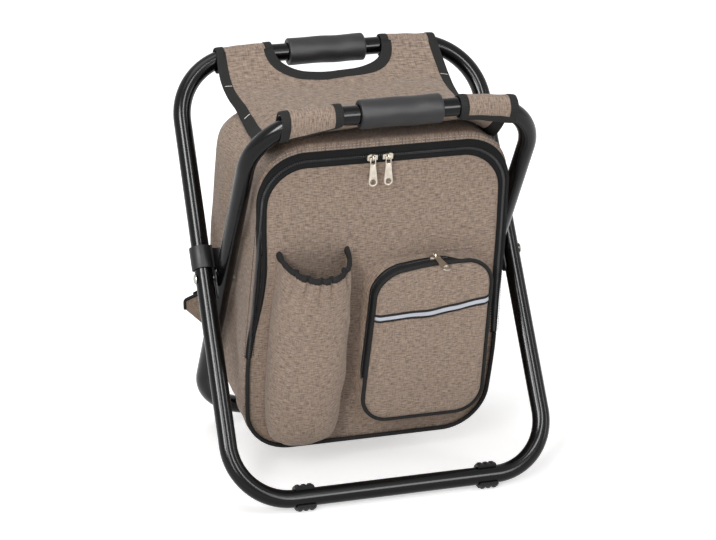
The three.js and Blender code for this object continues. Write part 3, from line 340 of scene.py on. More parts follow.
def ripple(a, b, size, seed):
    """Soft uneven waves over two coordinates: a sum of plane waves of like size in seeded directions."""
    waves = 9
    chance = np.random.default_rng(seed)
    turn, phase = chance.uniform(0, 2 * math.pi, (2, waves))
    length = size * chance.uniform(0.7, 1.7, waves)
    across = np.asarray(a, float)[..., None] * np.cos(turn) + np.asarray(b, float)[..., None] * np.sin(turn)
    return np.sin(2 * math.pi * across / length + phase).sum(axis=-1) / math.sqrt(waves / 2)


def rounded_path(corners, radius, steps, closed=True):
    """Path through corners, each turned into a circular arc that touches both of its sides.

    An arc point is the centre plus the start and end arms weighted by the sines of the shares of the turn.
    """
    corners = np.asarray(corners, float)
    count = len(corners)
    radii = np.broadcast_to(np.asarray(radius, float), count)
    t = np.linspace(0, 1, steps)[:, None]
    runs = []
    for i in range(count):
        here = corners[i]
        if not closed and i in (0, count - 1):
            runs.append(here[None])
            continue
        back = unit(corners[i - 1] - here)
        onward = unit(corners[(i + 1) % count] - here)
        half = math.acos(float(np.clip(back @ onward, -1, 1))) / 2
        centre = here + unit(back + onward) * radii[i] / math.sin(half)
        start = here + back * radii[i] / math.tan(half) - centre
        end = here + onward * radii[i] / math.tan(half) - centre
        turn = math.pi - 2 * half
        runs.append(centre + (start * np.sin((1 - t) * turn) + end * np.sin(t * turn)) / math.sin(turn))
    return np.vstack(runs)


def even(path, spacing, closed=False):
    """The same path with its points at even distances."""
    loop = np.vstack([path, path[:1]]) if closed else path
    gone = np.concatenate([[0], np.cumsum(np.linalg.norm(np.diff(loop, axis=0), axis=1))])
    places = np.linspace(0, gone[-1], max(int(round(gone[-1] / spacing)), 2) + 1)
    places = places[:-1] if closed else places
    return np.stack([np.interp(places, gone, loop[:, k]) for k in range(loop.shape[1])], axis=1)


def headings(path, closed=False):
    """Direction of travel at each point, from its two neighbours."""
    if closed:
        return unit(np.roll(path, -1, axis=0) - np.roll(path, 1, axis=0))
    return unit(np.gradient(path, axis=0))


def round_section(radius, sides):
    """Circle of a number of sides."""
    angle = np.linspace(0, 2 * math.pi, sides, endpoint=False)
    return radius * np.stack([np.cos(angle), np.sin(angle)], axis=1)


def band_section(low, high, thick):
    """Flat band with rounded edges: a superellipse between two distances across."""
    c, s = round_section(1.0, 24).T
    across = np.sign(c) * np.abs(c) ** 0.35 * (high - low) / 2 + (high + low) / 2
    return np.stack([across, np.sign(s) * np.abs(s) ** 0.6 * thick / 2], axis=1)


def cloth_lengths(points):
    """Distance along the cloth in both grid directions, for the weave: running sums of the steps."""
    across = np.zeros(points.shape[:2])
    along = np.zeros(points.shape[:2])
    across[:, 1:] = np.cumsum(np.linalg.norm(np.diff(points, axis=1), axis=-1), axis=1)
    along[1:] = np.cumsum(np.linalg.norm(np.diff(points, axis=0), axis=-1), axis=0)
    across -= across[:, across.shape[1] // 2][:, None]
    return np.stack([across, along], axis=-1)


def skin(points, finish, wrap_rows=False, wrap_columns=False, caps=False, toward=None, weave=None):
    """Four-sided faces over a grid of points. A wrapped direction joins its last line to its first.

    The faces are turned to point away from the grid's middle, or along toward where it is given. The weave
    is a grid of distances on the flat cloth, and the grid's own lengths where none is given.
    """
    rows, columns = points.shape[:2]
    index = np.arange(rows * columns).reshape(rows, columns)
    full = points if weave is None else np.concatenate([points, weave], axis=-1)
    if wrap_rows:
        index, full = np.vstack([index, index[:1]]), np.concatenate([full, full[:1]])
    if wrap_columns:
        index, full = np.hstack([index, index[:, :1]]), np.concatenate([full, full[:, :1]], axis=1)
    lengths = cloth_lengths(full) if weave is None else full[..., 3:]
    corners = ((slice(None, -1), slice(None, -1)), (slice(1, None), slice(None, -1)),
               (slice(1, None), slice(1, None)), (slice(None, -1), slice(1, None)))
    quads = np.stack([index[c] for c in corners], axis=-1).reshape(-1, 4)
    weave = np.stack([lengths[c] for c in corners], axis=2).reshape(-1, 4, 2)
    flat = points.reshape(-1, 3)
    ends = [index[0, :columns], index[-1, :columns][::-1]] if caps else []
    quad_points = flat[quads]
    normals = np.cross(quad_points[:, 2] - quad_points[:, 0], quad_points[:, 3] - quad_points[:, 1])
    away = quad_points.mean(axis=1) - flat.mean(axis=0) if toward is None else np.asarray(toward, float)
    if (normals * away).sum() < 0:
        quads, weave = quads[:, ::-1], weave[:, ::-1]
        ends = [end[::-1] for end in ends]
    return {"points": flat, "quads": quads, "weave": weave, "ends": ends, "finish": finish}


def carried(path, profile, facing, finish, closed=False):
    """Profile carried along a path: path plus across times its first value plus lift times its second.

    Across is the heading crossed with the facing direction, and lift is square to both. The skin is joined
    up where the path is closed, and capped elsewhere.
    """
    along = headings(path, closed)
    across = unit(np.cross(along, np.broadcast_to(facing, path.shape)))
    lift = np.cross(across, along)
    profile = np.broadcast_to(profile, (len(path), *np.shape(profile)[-2:]))
    points = path[:, None] + across[:, None] * profile[..., :1] + lift[:, None] * profile[..., 1:]
    return skin(points, finish, wrap_rows=closed, wrap_columns=True, caps=not closed)


def block_skin(points, quads, finish):
    """Skin of loose blocks, which need no weave."""
    weave = np.zeros((len(quads), 4, 2))
    return {"points": points, "quads": quads, "weave": weave, "ends": [], "finish": finish}


def copies(shape, faces, path, facing, finish):
    """A shape set down at each point of a path: along times x, plus across times y, plus lift times z."""
    along = headings(path)
    across = unit(np.cross(np.broadcast_to(facing, path.shape), along))
    lift = np.cross(along, across)
    axes = np.stack([along, across, lift], axis=1)
    points = (path[:, None] + np.einsum("vk,nkd->nvd", shape, axes)).reshape(-1, 3)
    quads = (faces[None] + len(shape) * np.arange(len(path))[:, None, None]).reshape(-1, 4)
    return block_skin(points, quads, finish)


def small_block(length, width, height, taper):
    """Block of eight corners that narrows towards its top, lying on the ground of its own axes."""
    base = np.array([[-1, -1], [1, -1], [1, 1], [-1, 1]]) * [length / 2, width / 2]
    low = np.column_stack([base, np.zeros(4)])
    high = np.column_stack([base * taper, np.full(4, height)])
    faces = np.array([[3, 2, 1, 0], [4, 5, 6, 7], [0, 1, 5, 4], [1, 2, 6, 5], [2, 3, 7, 6], [3, 0, 4, 7]])
    return np.vstack([low, high]), faces


def stitches(path, facing, finish, stitch=2.8, gap=1.3, thread=0.7):
    """Row of stitches: one small humped block for each stitch, evenly spaced along the path."""
    block = small_block(stitch, thread, 0.45, 0.6)
    return copies(*block, even(path, stitch + gap)[1:-1], facing, finish)


def settle(obj, body, replaces):
    """Puts an object into the scene, on its body and the nodes that it stands for."""
    bpy.context.collection.objects.link(obj)
    if body:
        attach(obj, body)
    if replaces:
        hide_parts(*replaces)
    return obj


def piece(name, skins, body, replaces=(), wall=0.0, inward=-1.0, merge=False, sharp=None):
    """One object from one or more skins, riding on a body. A wall is given its thickness by Solidify."""
    starts = np.cumsum([0] + [len(s["points"]) for s in skins])
    mesh = bpy.data.meshes.new(name)
    faces, weave, finishes, which = [], [], [], []
    for start, s in zip(starts, skins):
        if s["finish"] not in finishes:
            finishes.append(s["finish"])
        faces += (s["quads"] + start).tolist() + [(end + start).tolist() for end in s["ends"]]
        weave.append(s["weave"].reshape(-1, 2))
        weave += [np.zeros((len(end), 2)) for end in s["ends"]]
        which += [finishes.index(s["finish"])] * (len(s["quads"]) + len(s["ends"]))
    points = np.vstack([s["points"] for s in skins]) * MM
    mesh.from_pydata(points.tolist(), [], faces)
    layer = mesh.uv_layers.new(name="weave")
    layer.data.foreach_set("uv", np.vstack(weave).ravel())
    for finish in finishes:
        mesh.materials.append(finish)
    mesh.polygons.foreach_set("material_index", which)
    mesh.polygons.foreach_set("use_smooth", [True] * len(faces))
    if merge:
        work = bmesh.new()
        work.from_mesh(mesh)
        bmesh.ops.remove_doubles(work, verts=work.verts, dist=0.02 * MM)
        work.to_mesh(mesh)
        work.free()
    if sharp is not None:
        mesh.set_sharp_from_angle(angle=math.radians(sharp))
    obj = bpy.data.objects.new(name, mesh)
    if wall:
        thicken = obj.modifiers.new("wall", "SOLIDIFY")
        thicken.thickness = wall * MM
        thicken.offset = inward
    return settle(obj, body, replaces)


def eased_copy(node, body, finish, ease):
    """The node's own solid, its doubles merged and its flat faces joined, with every sharp edge rounded."""
    work = bmesh.new()
    work.from_mesh(bpy.data.objects[node].data)
    bmesh.ops.remove_doubles(work, verts=work.verts, dist=0.002 * MM)
    bmesh.ops.dissolve_limit(work, angle_limit=math.radians(1), verts=work.verts, edges=work.edges)
    mesh = bpy.data.meshes.new(node + "_eased")
    work.to_mesh(mesh)
    work.free()
    mesh.materials.clear()
    mesh.materials.append(finish)
    mesh.polygons.foreach_set("material_index", [0] * len(mesh.polygons))
    mesh.polygons.foreach_set("use_smooth", [True] * len(mesh.polygons))
    obj = bpy.data.objects.new(node + "_eased", mesh)
    bevel = obj.modifiers.new("ease", "BEVEL")
    bevel.width = ease * MM
    bevel.segments = 3
    bevel.limit_method = "ANGLE"
    bevel.angle_limit = math.radians(32)
    settle(obj, body, [node])


# Floor, light and background

def seen_directly(tree):
    """Socket that is 1 where the camera, a reflection or a see-through piece looks straight at a surface."""
    ray = add(tree, "ShaderNodeLightPath").outputs
    direct = {0: ray["Is Camera Ray"], 1: ray["Is Glossy Ray"]}
    seen = add(tree, "ShaderNodeMath", direct, operation="MAXIMUM")
    through = {0: seen.outputs[0], 1: ray["Is Transmission Ray"]}
    return add(tree, "ShaderNodeMath", through, operation="MAXIMUM").outputs[0]


def lay_floor():
    """Plain white floor. It glows a little to the camera, and its glow is lowered round the stool as painted
    shade, where real shadow falls on it too.
    """
    mesh = bpy.data.meshes.new("floor")
    reach = 14.0
    mesh.from_pydata([(-reach, -reach, 0), (reach, -reach, 0), (reach, reach, 0), (-reach, reach, 0)], [],
                     [(0, 1, 2, 3)])
    material, tree, shader = begin("white_studio_floor", Base_Color=tone("f2f2f2"), Roughness=0.9,
                                   Emission_Color=(1, 1, 1, 1))
    place = add(tree, "ShaderNodeTexCoord").outputs["Object"]
    # Painted shade: a round falloff lowers the glow near the stool, so the floor under it reads darker than
    # its light alone makes it
    near = add(tree, "ShaderNodeTexGradient", {"Vector": place}, gradient_type="SPHERICAL")
    level = add(tree, "ShaderNodeMapRange", {"Value": near.outputs["Fac"], "To Min": 0.78, "To Max": 0.48})
    glow = add(tree, "ShaderNodeMath", {0: seen_directly(tree), 1: level.outputs[0]}, operation="MULTIPLY")
    fill(tree, shader, {"Emission Strength": glow.outputs[0]})
    mesh.materials.append(material)
    floor = bpy.data.objects.new("floor", mesh)
    bpy.context.collection.objects.link(floor)


def hang_lamp(name, place, target, size, power, shine_only=False):
    """Soft box: an oblong area lamp turned towards a target. It may serve for the shine on gloss alone."""
    data = bpy.data.lights.new(name, "AREA")
    data.shape = "RECTANGLE"
    data.size, data.size_y = size
    data.energy = power
    lamp = bpy.data.objects.new(name, data)
    aim = Vector(target) - Vector(place)
    turn = aim.to_track_quat("-Z", "Y").to_matrix().to_4x4()
    lamp.matrix_world = Matrix.Translation(Vector(place)) @ turn
    lamp.visible_diffuse = not shine_only
    bpy.context.collection.objects.link(lamp)


def light_world(level):
    """Even grey light all round, and plain white where the camera or a reflection sees it."""
    world = bpy.data.worlds.new("studio")
    bpy.context.scene.world = world
    world.use_nodes = True
    tree = world.node_tree
    tree.nodes.clear()
    dim = add(tree, "ShaderNodeBackground", {"Color": (1, 1, 1, 1), "Strength": level})
    white = add(tree, "ShaderNodeBackground", {"Color": (1, 1, 1, 1), "Strength": 1.0})
    pick = add(tree, "ShaderNodeMixShader", {0: seen_directly(tree), 1: dim.outputs[0], 2: white.outputs[0]})
    add(tree, "ShaderNodeOutputWorld", {"Surface": pick.outputs[0]})


lay_floor()
hang_lamp("overhead_box", (-0.4, 0.1, 2.4), (0, 0, 0.2), (1.2, 1.2), 15.0)
hang_lamp("front_box", (-1.55, -2.15, 1.5), (0, 0, 0.2), (0.5, 1.5), 35.0)
hang_lamp("right_box", (1.9, -1.0, 1.0), (0, 0, 0.2), (0.3, 1.6), 12.0)
hang_lamp("left_streak", (-1.96, -1.27, 1.8), (0, 0, 0.25), (0.7, 1.5), 105.0, shine_only=True)
hang_lamp("front_streak", (0.19, -1.83, 2.1), (0, 0, 0.25), (0.5, 1.3), 46.0, shine_only=True)
hang_lamp("low_streak", (0.71, -2.41, 1.04), (0, -0.13, 0.02), (1.0, 0.9), 40.0, shine_only=True)
light_world(0.29)


# Tube frame

def in_loop(across, out, reach, lean):
    """A tube loop's own plane, turned about the rivets' line by its lean, as places of the stool."""
    y = out * math.cos(lean) - reach * math.sin(lean)
    z = PIVOT_Z + out * math.sin(lean) + reach * math.cos(lean)
    return np.stack(np.broadcast_arrays(across, y, z), axis=-1).astype(float)


def tube_loop(low_width, high_width, low_bend, lean):
    """Closed loop of bent tube: a rounded frame of four corners with a circle carried along it."""
    corners = [(-low_width / 2, -LEG_REACH), (low_width / 2, -LEG_REACH),
               (high_width / 2, LEG_REACH), (-high_width / 2, LEG_REACH)]
    flat = even(rounded_path(corners, [low_bend, low_bend, BEND, BEND], steps=40), 3.5, closed=True)
    path = in_loop(flat[:, 0], 0.0, flat[:, 1], lean)
    facing = np.array([0.0, math.cos(lean), math.sin(lean)])
    return carried(path, round_section(TUBE_R, 40), facing, POWDER, closed=True)


def foam_grip(rail_y):
    """Foam sleeve on a rail: a lathed ring, its ends rounded over to the tube, a little uneven all round."""
    half, radius, edge, tuck, ease = 43.0, 15.0, 2.0, 3.0, 0.4
    bend = np.linspace(0, math.pi / 2, 7)
    run = np.linspace(-half + edge, half - edge, 40)[1:-1]
    left = np.concatenate([[-half + tuck], [-half], -half + edge - edge * np.cos(bend)])
    rise = np.concatenate([[TUBE_R], [TUBE_R + ease], radius - edge + edge * np.sin(bend)])
    x = np.concatenate([left, run, -left[::-1]])
    r = np.concatenate([rise, np.full(len(run), radius), rise[::-1]])[:, None]
    angle = np.linspace(0, 2 * math.pi, 56, endpoint=False)
    grid_x, grid_a = np.meshgrid(x, angle, indexing="ij")
    dent = smooth(r, TUBE_R, radius) * (0.22 * ripple(grid_x, radius * grid_a, 26, 3) - 0.25)
    reach = r + dent
    return np.stack([grid_x, rail_y + reach * np.cos(grid_a), RAIL_HIGH + reach * np.sin(grid_a)], axis=-1)


def ribbed_foot(middle_x, rail_y, turn):
    """Foot clip: a strip with three ribs bent round the rail, flat on the floor and open outwards.

    Its ends are rounded by a quarter circle, and each rib is a soft step down to the valley on both sides.
    """
    inside, valley, rib, half, pitch, ease = 9.7, 13.1, 1.2, 10.5, 6.6, 0.9
    x = np.linspace(-half, half, 64)
    ribs = sum(smooth(np.abs(x - k * pitch), 2.4, 1.2) for k in (-1, 0, 1))
    round_end = ease * (1 - np.sqrt(1 - np.clip(np.abs(x) - half + 1, 0, 1) ** 2))
    outer = np.stack([x, valley + rib * ribs - round_end], axis=1)
    inner = np.stack([x[::-1][::6], np.full(len(x[::6]), inside)], axis=1)
    strip = np.vstack([outer, inner])
    angle = np.radians(np.linspace(-150, 100, 72))[:, None]
    y = strip[:, 1] * np.cos(angle)
    z = np.maximum(strip[:, 1] * np.sin(angle), -RAIL_LOW)
    across = np.broadcast_to(strip[:, 0], y.shape)
    return np.stack([middle_x + turn * across, rail_y + turn * y, RAIL_LOW + z], axis=-1)


def lathe_x(profile, side):
    """Profile of places along X and radii, turned about the rivets' line."""
    c, s = round_section(1.0, 40).T
    x, r = np.asarray(profile, float).T[:, :, None]
    return np.stack(np.broadcast_arrays(side * x, r * c, PIVOT_Z + r * s), axis=-1)


def rivet_profile():
    """Rivet: a shank through both legs and a low domed head at each end, as places and radii."""
    inner, outer, head, shank, high = 140.2, 181.05, 5.5, 3.0, 2.0
    dome = np.linspace(0, math.pi / 2, 9)
    out, radius = high * np.cos(dome), np.maximum(head * np.sin(dome), 0.01)
    left = np.stack([inner - out, radius], axis=1)
    right = np.stack([outer + out, radius], axis=1)[::-1]
    return np.vstack([left, [[inner, shank], [outer, shank]], right])


OUTER, INNER = "outer_frame", "inner_frame"
RAILS = {"back": (OUTER, RAIL_SPREAD / 2, -LEAN), "front": (INNER, -RAIL_SPREAD / 2, LEAN)}

piece("outer_tube", [tube_loop(OUTER_LOW_WIDTH, OUTER_HIGH_WIDTH, FLOOR_BEND, -LEAN)], OUTER,
      ["outer_frame_tube"])
piece("inner_tube", [tube_loop(INNER_WIDTH, INNER_WIDTH, BEND, LEAN)], INNER,
      ["inner_frame_tube"])
for rail, (body, rail_y, _) in RAILS.items():
    ring = skin(foam_grip(rail_y), FOAM_GRIP, wrap_rows=True, wrap_columns=True)
    foam = piece(f"foam_grip_{rail}", [ring], body, [f"grip_{rail}"])
for place, body, foot_x, turn in (("front", OUTER, FOOT_FRONT_X, 1), ("back", INNER, FOOT_BACK_X, -1)):
    for name, side in SIDES:
        strip = skin(ribbed_foot(side * foot_x, -turn * RAIL_SPREAD / 2, turn), PLASTIC, wrap_columns=True,
                     caps=True)
        piece(f"ribbed_foot_{place}_{name}", [strip], body, [f"foot_{place}_{name}"],
              sharp=50)
for name, side in SIDES:
    piece(f"rivet_{name}", [skin(lathe_x(rivet_profile(), side), STEEL, wrap_columns=True, caps=True)],
          OUTER, [f"pivot_rivet_{name}"], sharp=40)
    eased_copy(f"pivot_spacer_{name}", OUTER, PLASTIC, 0.4)
eased_copy("fold_clip", OUTER, PLASTIC, 0.6)


# Seat

def bag_place(across, back, up):
    """The bag's own tilted frame as places of the stool."""
    y = -BAG_REACH + back * math.cos(BAG_TILT) - up * math.sin(BAG_TILT)
    z = PIVOT_Z + back * math.sin(BAG_TILT) + up * math.cos(BAG_TILT)
    return np.stack(np.broadcast_arrays(across, y, z), axis=-1).astype(float)


def slack_place(across, back, up):
    """A place on the bag's own cloth: the bag's frame with its sides moved out by their bulge.

    The bulge is read from its heights, softened over 24 mm each way. It fades from each end of the bag to
    the legs' way between them, and grows from the bag's middle to its sides. On the right, the back bulges
    half as far.
    """
    across, back, up = np.broadcast_arrays(np.asarray(across, float), back, up)
    near = up[..., None] + np.linspace(-24, 24, 7)
    front_left, front_right, behind = (np.interp(near, BULGE_UP, bulge).mean(axis=-1)
                                       for bulge in (BULGE_FRONT_LEFT, BULGE_FRONT_RIGHT, BULGE_BACK))
    ahead = smooth(back, 62, 12)
    behind = smooth(back, 74, 125) * behind
    edge = smooth(np.abs(across), 40, 134)
    out = np.where(across < 0, -(ahead * front_left + behind), ahead * front_right + 0.5 * behind)
    return bag_place(across + edge * out, back, up)


def bag_top(back):
    """Height of the bag's top, which falls evenly towards its back."""
    return BAG_TOP - BAG_FALL * np.asarray(back, float) / BAG_DEPTH


def sling_edge(x):
    """Distance of the sling's edge from the seat's middle: straight along a sleeve, with a bowed cut-out."""
    bow = np.clip(1 - np.clip(np.abs(x) / CUT_HALF, 0, 1) ** CUT_SQUARE, 0, 1) ** 0.5
    meet = SLEEVE_R * math.cos(SLEEVE_MEET)
    return RAIL_SPREAD / 2 - meet - (CUT_DEPTH - meet) * bow


def sling_height(y):
    """Height of the sling: a straight run on the bag's top, and a parabola up to each rail.

    Each parabola leaves the run without a kink and meets its sleeve as a tangent, a set angle above level.
    """
    ends = [bag_place(0.0, back, float(bag_top(back))) for back in (20.0, 128.0)]
    (_, front_y, front_z), (_, back_y, back_z) = ends
    slope = (back_z - front_z) / (back_y - front_y)
    run_z = front_z + 1.3
    meet_y = RAIL_SPREAD / 2 - SLEEVE_R * math.cos(SLEEVE_MEET)
    meet_z = RAIL_HIGH + SLEEVE_R * math.sin(SLEEVE_MEET)
    height = run_z + slope * (y - front_y)
    for _, side in SIDES:
        rise = meet_z - (run_z + slope * (side * meet_y - front_y))
        steep = 1 / math.tan(SLEEVE_MEET) - side * slope
        run = 2 * rise / steep
        height = height + rise * (np.clip(side * y - meet_y + run, 0, None) / run) ** 2
    return height


def edge_droop(x, y):
    """How far the sling's loose edges hang over the bag's rounded corners: a square of the way past them.

    The right edge hangs along more of its length, and a little further near its front corner.
    """
    past = np.clip(np.abs(x) - DROOP_FROM, 0, None) / (SLING_HALF - DROOP_FROM)
    hang = DROOP * smooth(y, -124, -62)
    corner = DROOP_CORNER * smooth(y, -126, -96) * smooth(y, 20, -50)
    return past ** 2 * np.where(x < 0, hang * smooth(y, 96, -20), (hang + corner) * smooth(y, 126, 20))


def sling_point(x, y):
    """Place on the sling: drawn in at its sides, with drooping edges and folds that die out at its rails.

    Towards its corners it sinks with the sleeves, and its back half flares out.
    """
    past = np.clip(np.abs(x) - CUT_HALF, 0, None) / (SLING_HALF - CUT_HALF)
    flare = np.where(x < 0, 2.7 * smooth(y, 30, 75), 3.8 * smooth(y, -30, 40)) * smooth(y, 131, 95)
    draw = past * (SLING_WAIST * (1 - (y / (RAIL_SPREAD / 2)) ** 2) - flare)
    calm = smooth(np.abs(y), 118, 90)
    fold = 0.5 * ripple(x, 0.6 * y, 70, 11) + 0.35 * ripple(x, y, 34, 12)
    front_sink = np.where(x < 0, SLEEVE_HANG["front", -1][2], SLEEVE_HANG["front", 1][2])
    sink = front_sink * smooth(-y, 70, 118) + SLEEVE_HANG["back", 1][2] * smooth(y, 70, 118)
    corner = math.cos(LEAN) * sink * np.minimum(past, 1) ** 2
    z = sling_height(y) + calm * (fold + 0.5) - edge_droop(x, y) - corner
    return np.stack([x - np.sign(x) * draw, y, z], axis=-1)


def sling_cloth():
    """Seat cloth: columns across the seat, each running from its front edge to its back edge.

    Its weave is stretched, so its flecks are a little larger than the bag's.
    """
    cut = CUT_HALF * np.sin(np.linspace(-math.pi / 2, math.pi / 2, 64))
    flap = np.linspace(CUT_HALF, SLING_HALF, 26)[1:]
    x = np.concatenate([-flap[::-1], cut, flap])[:, None]
    y = sling_edge(x) * np.linspace(-1, 1, 110)[None]
    x = np.broadcast_to(x, y.shape)
    return skin(sling_point(x, y), MELANGE, toward=UP, weave=np.stack([0.85 * x, 0.75 * y], axis=-1))


def sleeve_ring(x, rail, out):
    """Section of a sleeve at each X: half a circle over the rail, and half a circle hung below by its bend.

    The lower half hangs further towards the rail's bend, with a loose wave along its length.
    """
    _, rail_y, lean = RAILS[rail]
    inner_drop, outer_drop, outer_sink = SLEEVE_HANG[rail, int(np.sign(x[0]))]
    share = ((np.abs(x) - CUT_HALF) / (SLING_HALF - CUT_HALF))[:, None]
    drop = inner_drop + (outer_drop - inner_drop) * share + 0.4 * ripple(x, 0 * x, 30, 22)[:, None]
    sink = outer_sink * np.clip(share, 0, 1) ** 2
    angle = np.linspace(0, 2 * math.pi, 72, endpoint=False)[None]
    hang = sink + (drop - sink) * smooth(-np.sin(angle), -0.15, 0.15)
    radius = SLEEVE_R + np.asarray(out, float).reshape(-1, 1)
    aside, down = radius * np.cos(angle), hang - radius * np.sin(angle)
    y = rail_y + aside * math.cos(lean) + down * math.sin(lean)
    z = RAIL_HIGH + aside * math.sin(lean) - down * math.cos(lean)
    return np.stack(np.broadcast_arrays(x[:, None], y, z), axis=-1)


def sleeve_skins(rail, side):
    """Sleeve cloth, a binding folded over each of its ends, and a black hem tape over the lower part of the
    front rail's sleeves, which is partly a real hem and partly painted shade for their shaded underside.

    All follow the sleeve's rings, with changing radius.
    """
    x = side * np.linspace(CUT_HALF, SLING_HALF, 34)
    wrinkle = 0.3 * ripple(x, 0 * x, 19, 24 + side)
    skins = [skin(sleeve_ring(x, rail, wrinkle), MELANGE, wrap_columns=True)]
    for end, into, wide in ((CUT_HALF, 1, 8.0), (SLING_HALF, -1, 8.5)):
        fold_x = np.array([wide, wide - 0.3, 0.6 * wide, 1.0, -0.3, -0.7, -0.3, 2.5])
        fold_out = np.array([0.1, 0.75, 0.95, 0.95, 0.6, -0.3, -1.4, -1.5])
        band = sleeve_ring(side * (end + into * fold_x), rail, fold_out)
        skins.append(skin(np.swapaxes(band, 0, 1), BINDING, wrap_rows=True))
    # Painted shade: this black band over the sleeve's lower side stands for its hem and for the shade under
    # the rail
    if rail == "front":
        first = 36 if side > 0 else 40
        skins.append(skin(sleeve_ring(x, rail, wrinkle + 0.7)[:, first:62], BINDING))
    return skins


def edge_binding(x, y, low, high):
    """Grosgrain folded over an edge of the seat: a flat band along the edge, from low to high across it.

    Each point lies on the sling at its place in plan, raised or lowered by the band's thickness.
    """
    plan = even(np.stack([x, y], axis=1), 3.0)
    along = headings(plan)
    across, lift = band_section(low, high, BINDING_THICK).T
    points = sling_point(plan[:, :1] + along[:, 1:] * across, plan[:, 1:] - along[:, :1] * across)
    return skin(points + lift[:, None] * UP, BINDING, wrap_columns=True, caps=True)


def bar_tack(x, y, turn):
    """Short dense bar of white thread across a binding: one low block, its length turned in plan.

    It lies along the line between two places on the sling, raised by half of the binding.
    """
    reach = np.array([-4.5, 4.5])
    start, end = sling_point(x + reach * math.cos(turn), y + reach * math.sin(turn))
    middle = (start + end) / 2 + BINDING_THICK / 2 * UP
    ahead = unit(end - start)
    across = unit(np.cross(UP, ahead))
    shape, faces = small_block(9.0, 0.9, 0.5, 0.8)
    points = middle + shape @ np.stack([ahead, across, np.cross(ahead, across)])
    return block_skin(points, faces, WHITE_THREAD)


sling = piece("sling_cloth", [sling_cloth()], None, ["seat_sling"],
              wall=CLOTH, inward=0.0)
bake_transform(sling)

edge_y = np.linspace(-1, 1, 90) * sling_edge(SLING_HALF)
edge_x = np.full(len(edge_y), SLING_HALF)
cut_x = CUT_HALF * np.sin(np.linspace(-math.pi / 2, math.pi / 2, 120))
edge_skins = [edge_binding(-edge_x, edge_y, -1.0, 10.0), edge_binding(edge_x, edge_y, -10.0, 1.0),
              edge_binding(cut_x, sling_edge(cut_x), -1.0, 10.5),
              edge_binding(cut_x, -sling_edge(cut_x), -10.5, 1.0)]
for x, y, turn in ((-118.5, 86.0, 0.0), (-118.0, 22.0, 0.4), (118.5, 84.0, 0.0), (118.0, 16.0, -0.4)):
    edge_skins.append(bar_tack(x, y, turn))
sling_binding = piece("sling_binding", edge_skins, None)
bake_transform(sling_binding)

for rail, (body, _, _) in RAILS.items():
    for name, side in SIDES:
        piece(f"rail_sleeve_{rail}_{name}", sleeve_skins(rail, side), body,
                             [f"sling_sleeve_{rail}_{name}"], wall=1.1)


# Bag

def rounded_rings(left, right, bottom, top, radius, counts=(34, 22, 34, 22), corner=13):
    """Rings of rounded rectangles, one for each row of the given columns, anticlockwise from the right side.

    Each ring is four quarter circles joined by straight runs.
    """
    left, right, bottom, top, radius = (np.asarray(v, float).reshape(-1, 1)
                                        for v in np.broadcast_arrays(left, right, bottom, top, radius))
    turn = np.linspace(0, math.pi / 2, corner)[None]
    corners = ((right - radius, bottom + radius, -90), (right - radius, top - radius, 0),
               (left + radius, top - radius, 90), (left + radius, bottom + radius, 180))
    arcs = [(cx + radius * np.cos(turn + math.radians(a)), cv + radius * np.sin(turn + math.radians(a)))
            for cx, cv, a in corners]
    across, up = [], []
    for (ax, av), (bx, bv), count in zip(arcs, arcs[1:] + arcs[:1], counts):
        t = np.linspace(0, 1, count + 2)[None, 1:-1]
        across += [ax, ax[:, -1:] * (1 - t) + bx[:, :1] * t]
        up += [av, av[:, -1:] * (1 - t) + bv[:, :1] * t]
    return np.concatenate(across, axis=1), np.concatenate(up, axis=1)


def ring_normals(across, up):
    """Outward directions of rings in their own plane."""
    dx = np.roll(across, -1, axis=1) - np.roll(across, 1, axis=1)
    dv = np.roll(up, -1, axis=1) - np.roll(up, 1, axis=1)
    length = np.hypot(dx, dv) + 1e-9
    return dv / length, -dx / length


def bag_outline(back, inset):
    """Sides, bottom, top and corner of the bag at a depth, moved inwards, as rows of five."""
    back, inset = np.broadcast_arrays(np.asarray(back, float), np.asarray(inset, float))
    half = BAG_HALF - inset
    corner = np.maximum(BAG_CORNER - inset, 2.0)
    return np.stack([-half, half, BAG_BOTTOM + inset, bag_top(back) - inset, corner], axis=-1)


def back_edge(inset, steps=14):
    """Outlines and depths of the bag's rounded back edge: a quarter circle that draws each outline in."""
    angle = np.linspace(0, math.pi / 2, steps)[1:]
    radius = BAG_BACK_ROUND - inset
    depth = BAG_DEPTH - BAG_BACK_ROUND + radius * np.sin(angle)
    return bag_outline(depth, inset + radius * (1 - np.cos(angle))), depth


def moved_out(outline, out):
    """An outline with its sides and its corner moved outwards, by one distance or by one for each row."""
    return np.asarray(outline) + np.multiply.outer(out, [-1.0, 1.0, -1.0, 1.0, 1.0])


def to_middle(outline, share):
    """Outlines drawn from one outline to the point in its middle, by shares of the way."""
    middle_x, middle_up = (outline[0] + outline[1]) / 2, (outline[2] + outline[3]) / 2
    point = np.array([middle_x, middle_x, middle_up, middle_up, 0.0])
    share = np.reshape(share, (-1, 1))
    return outline * (1 - share) + point * share


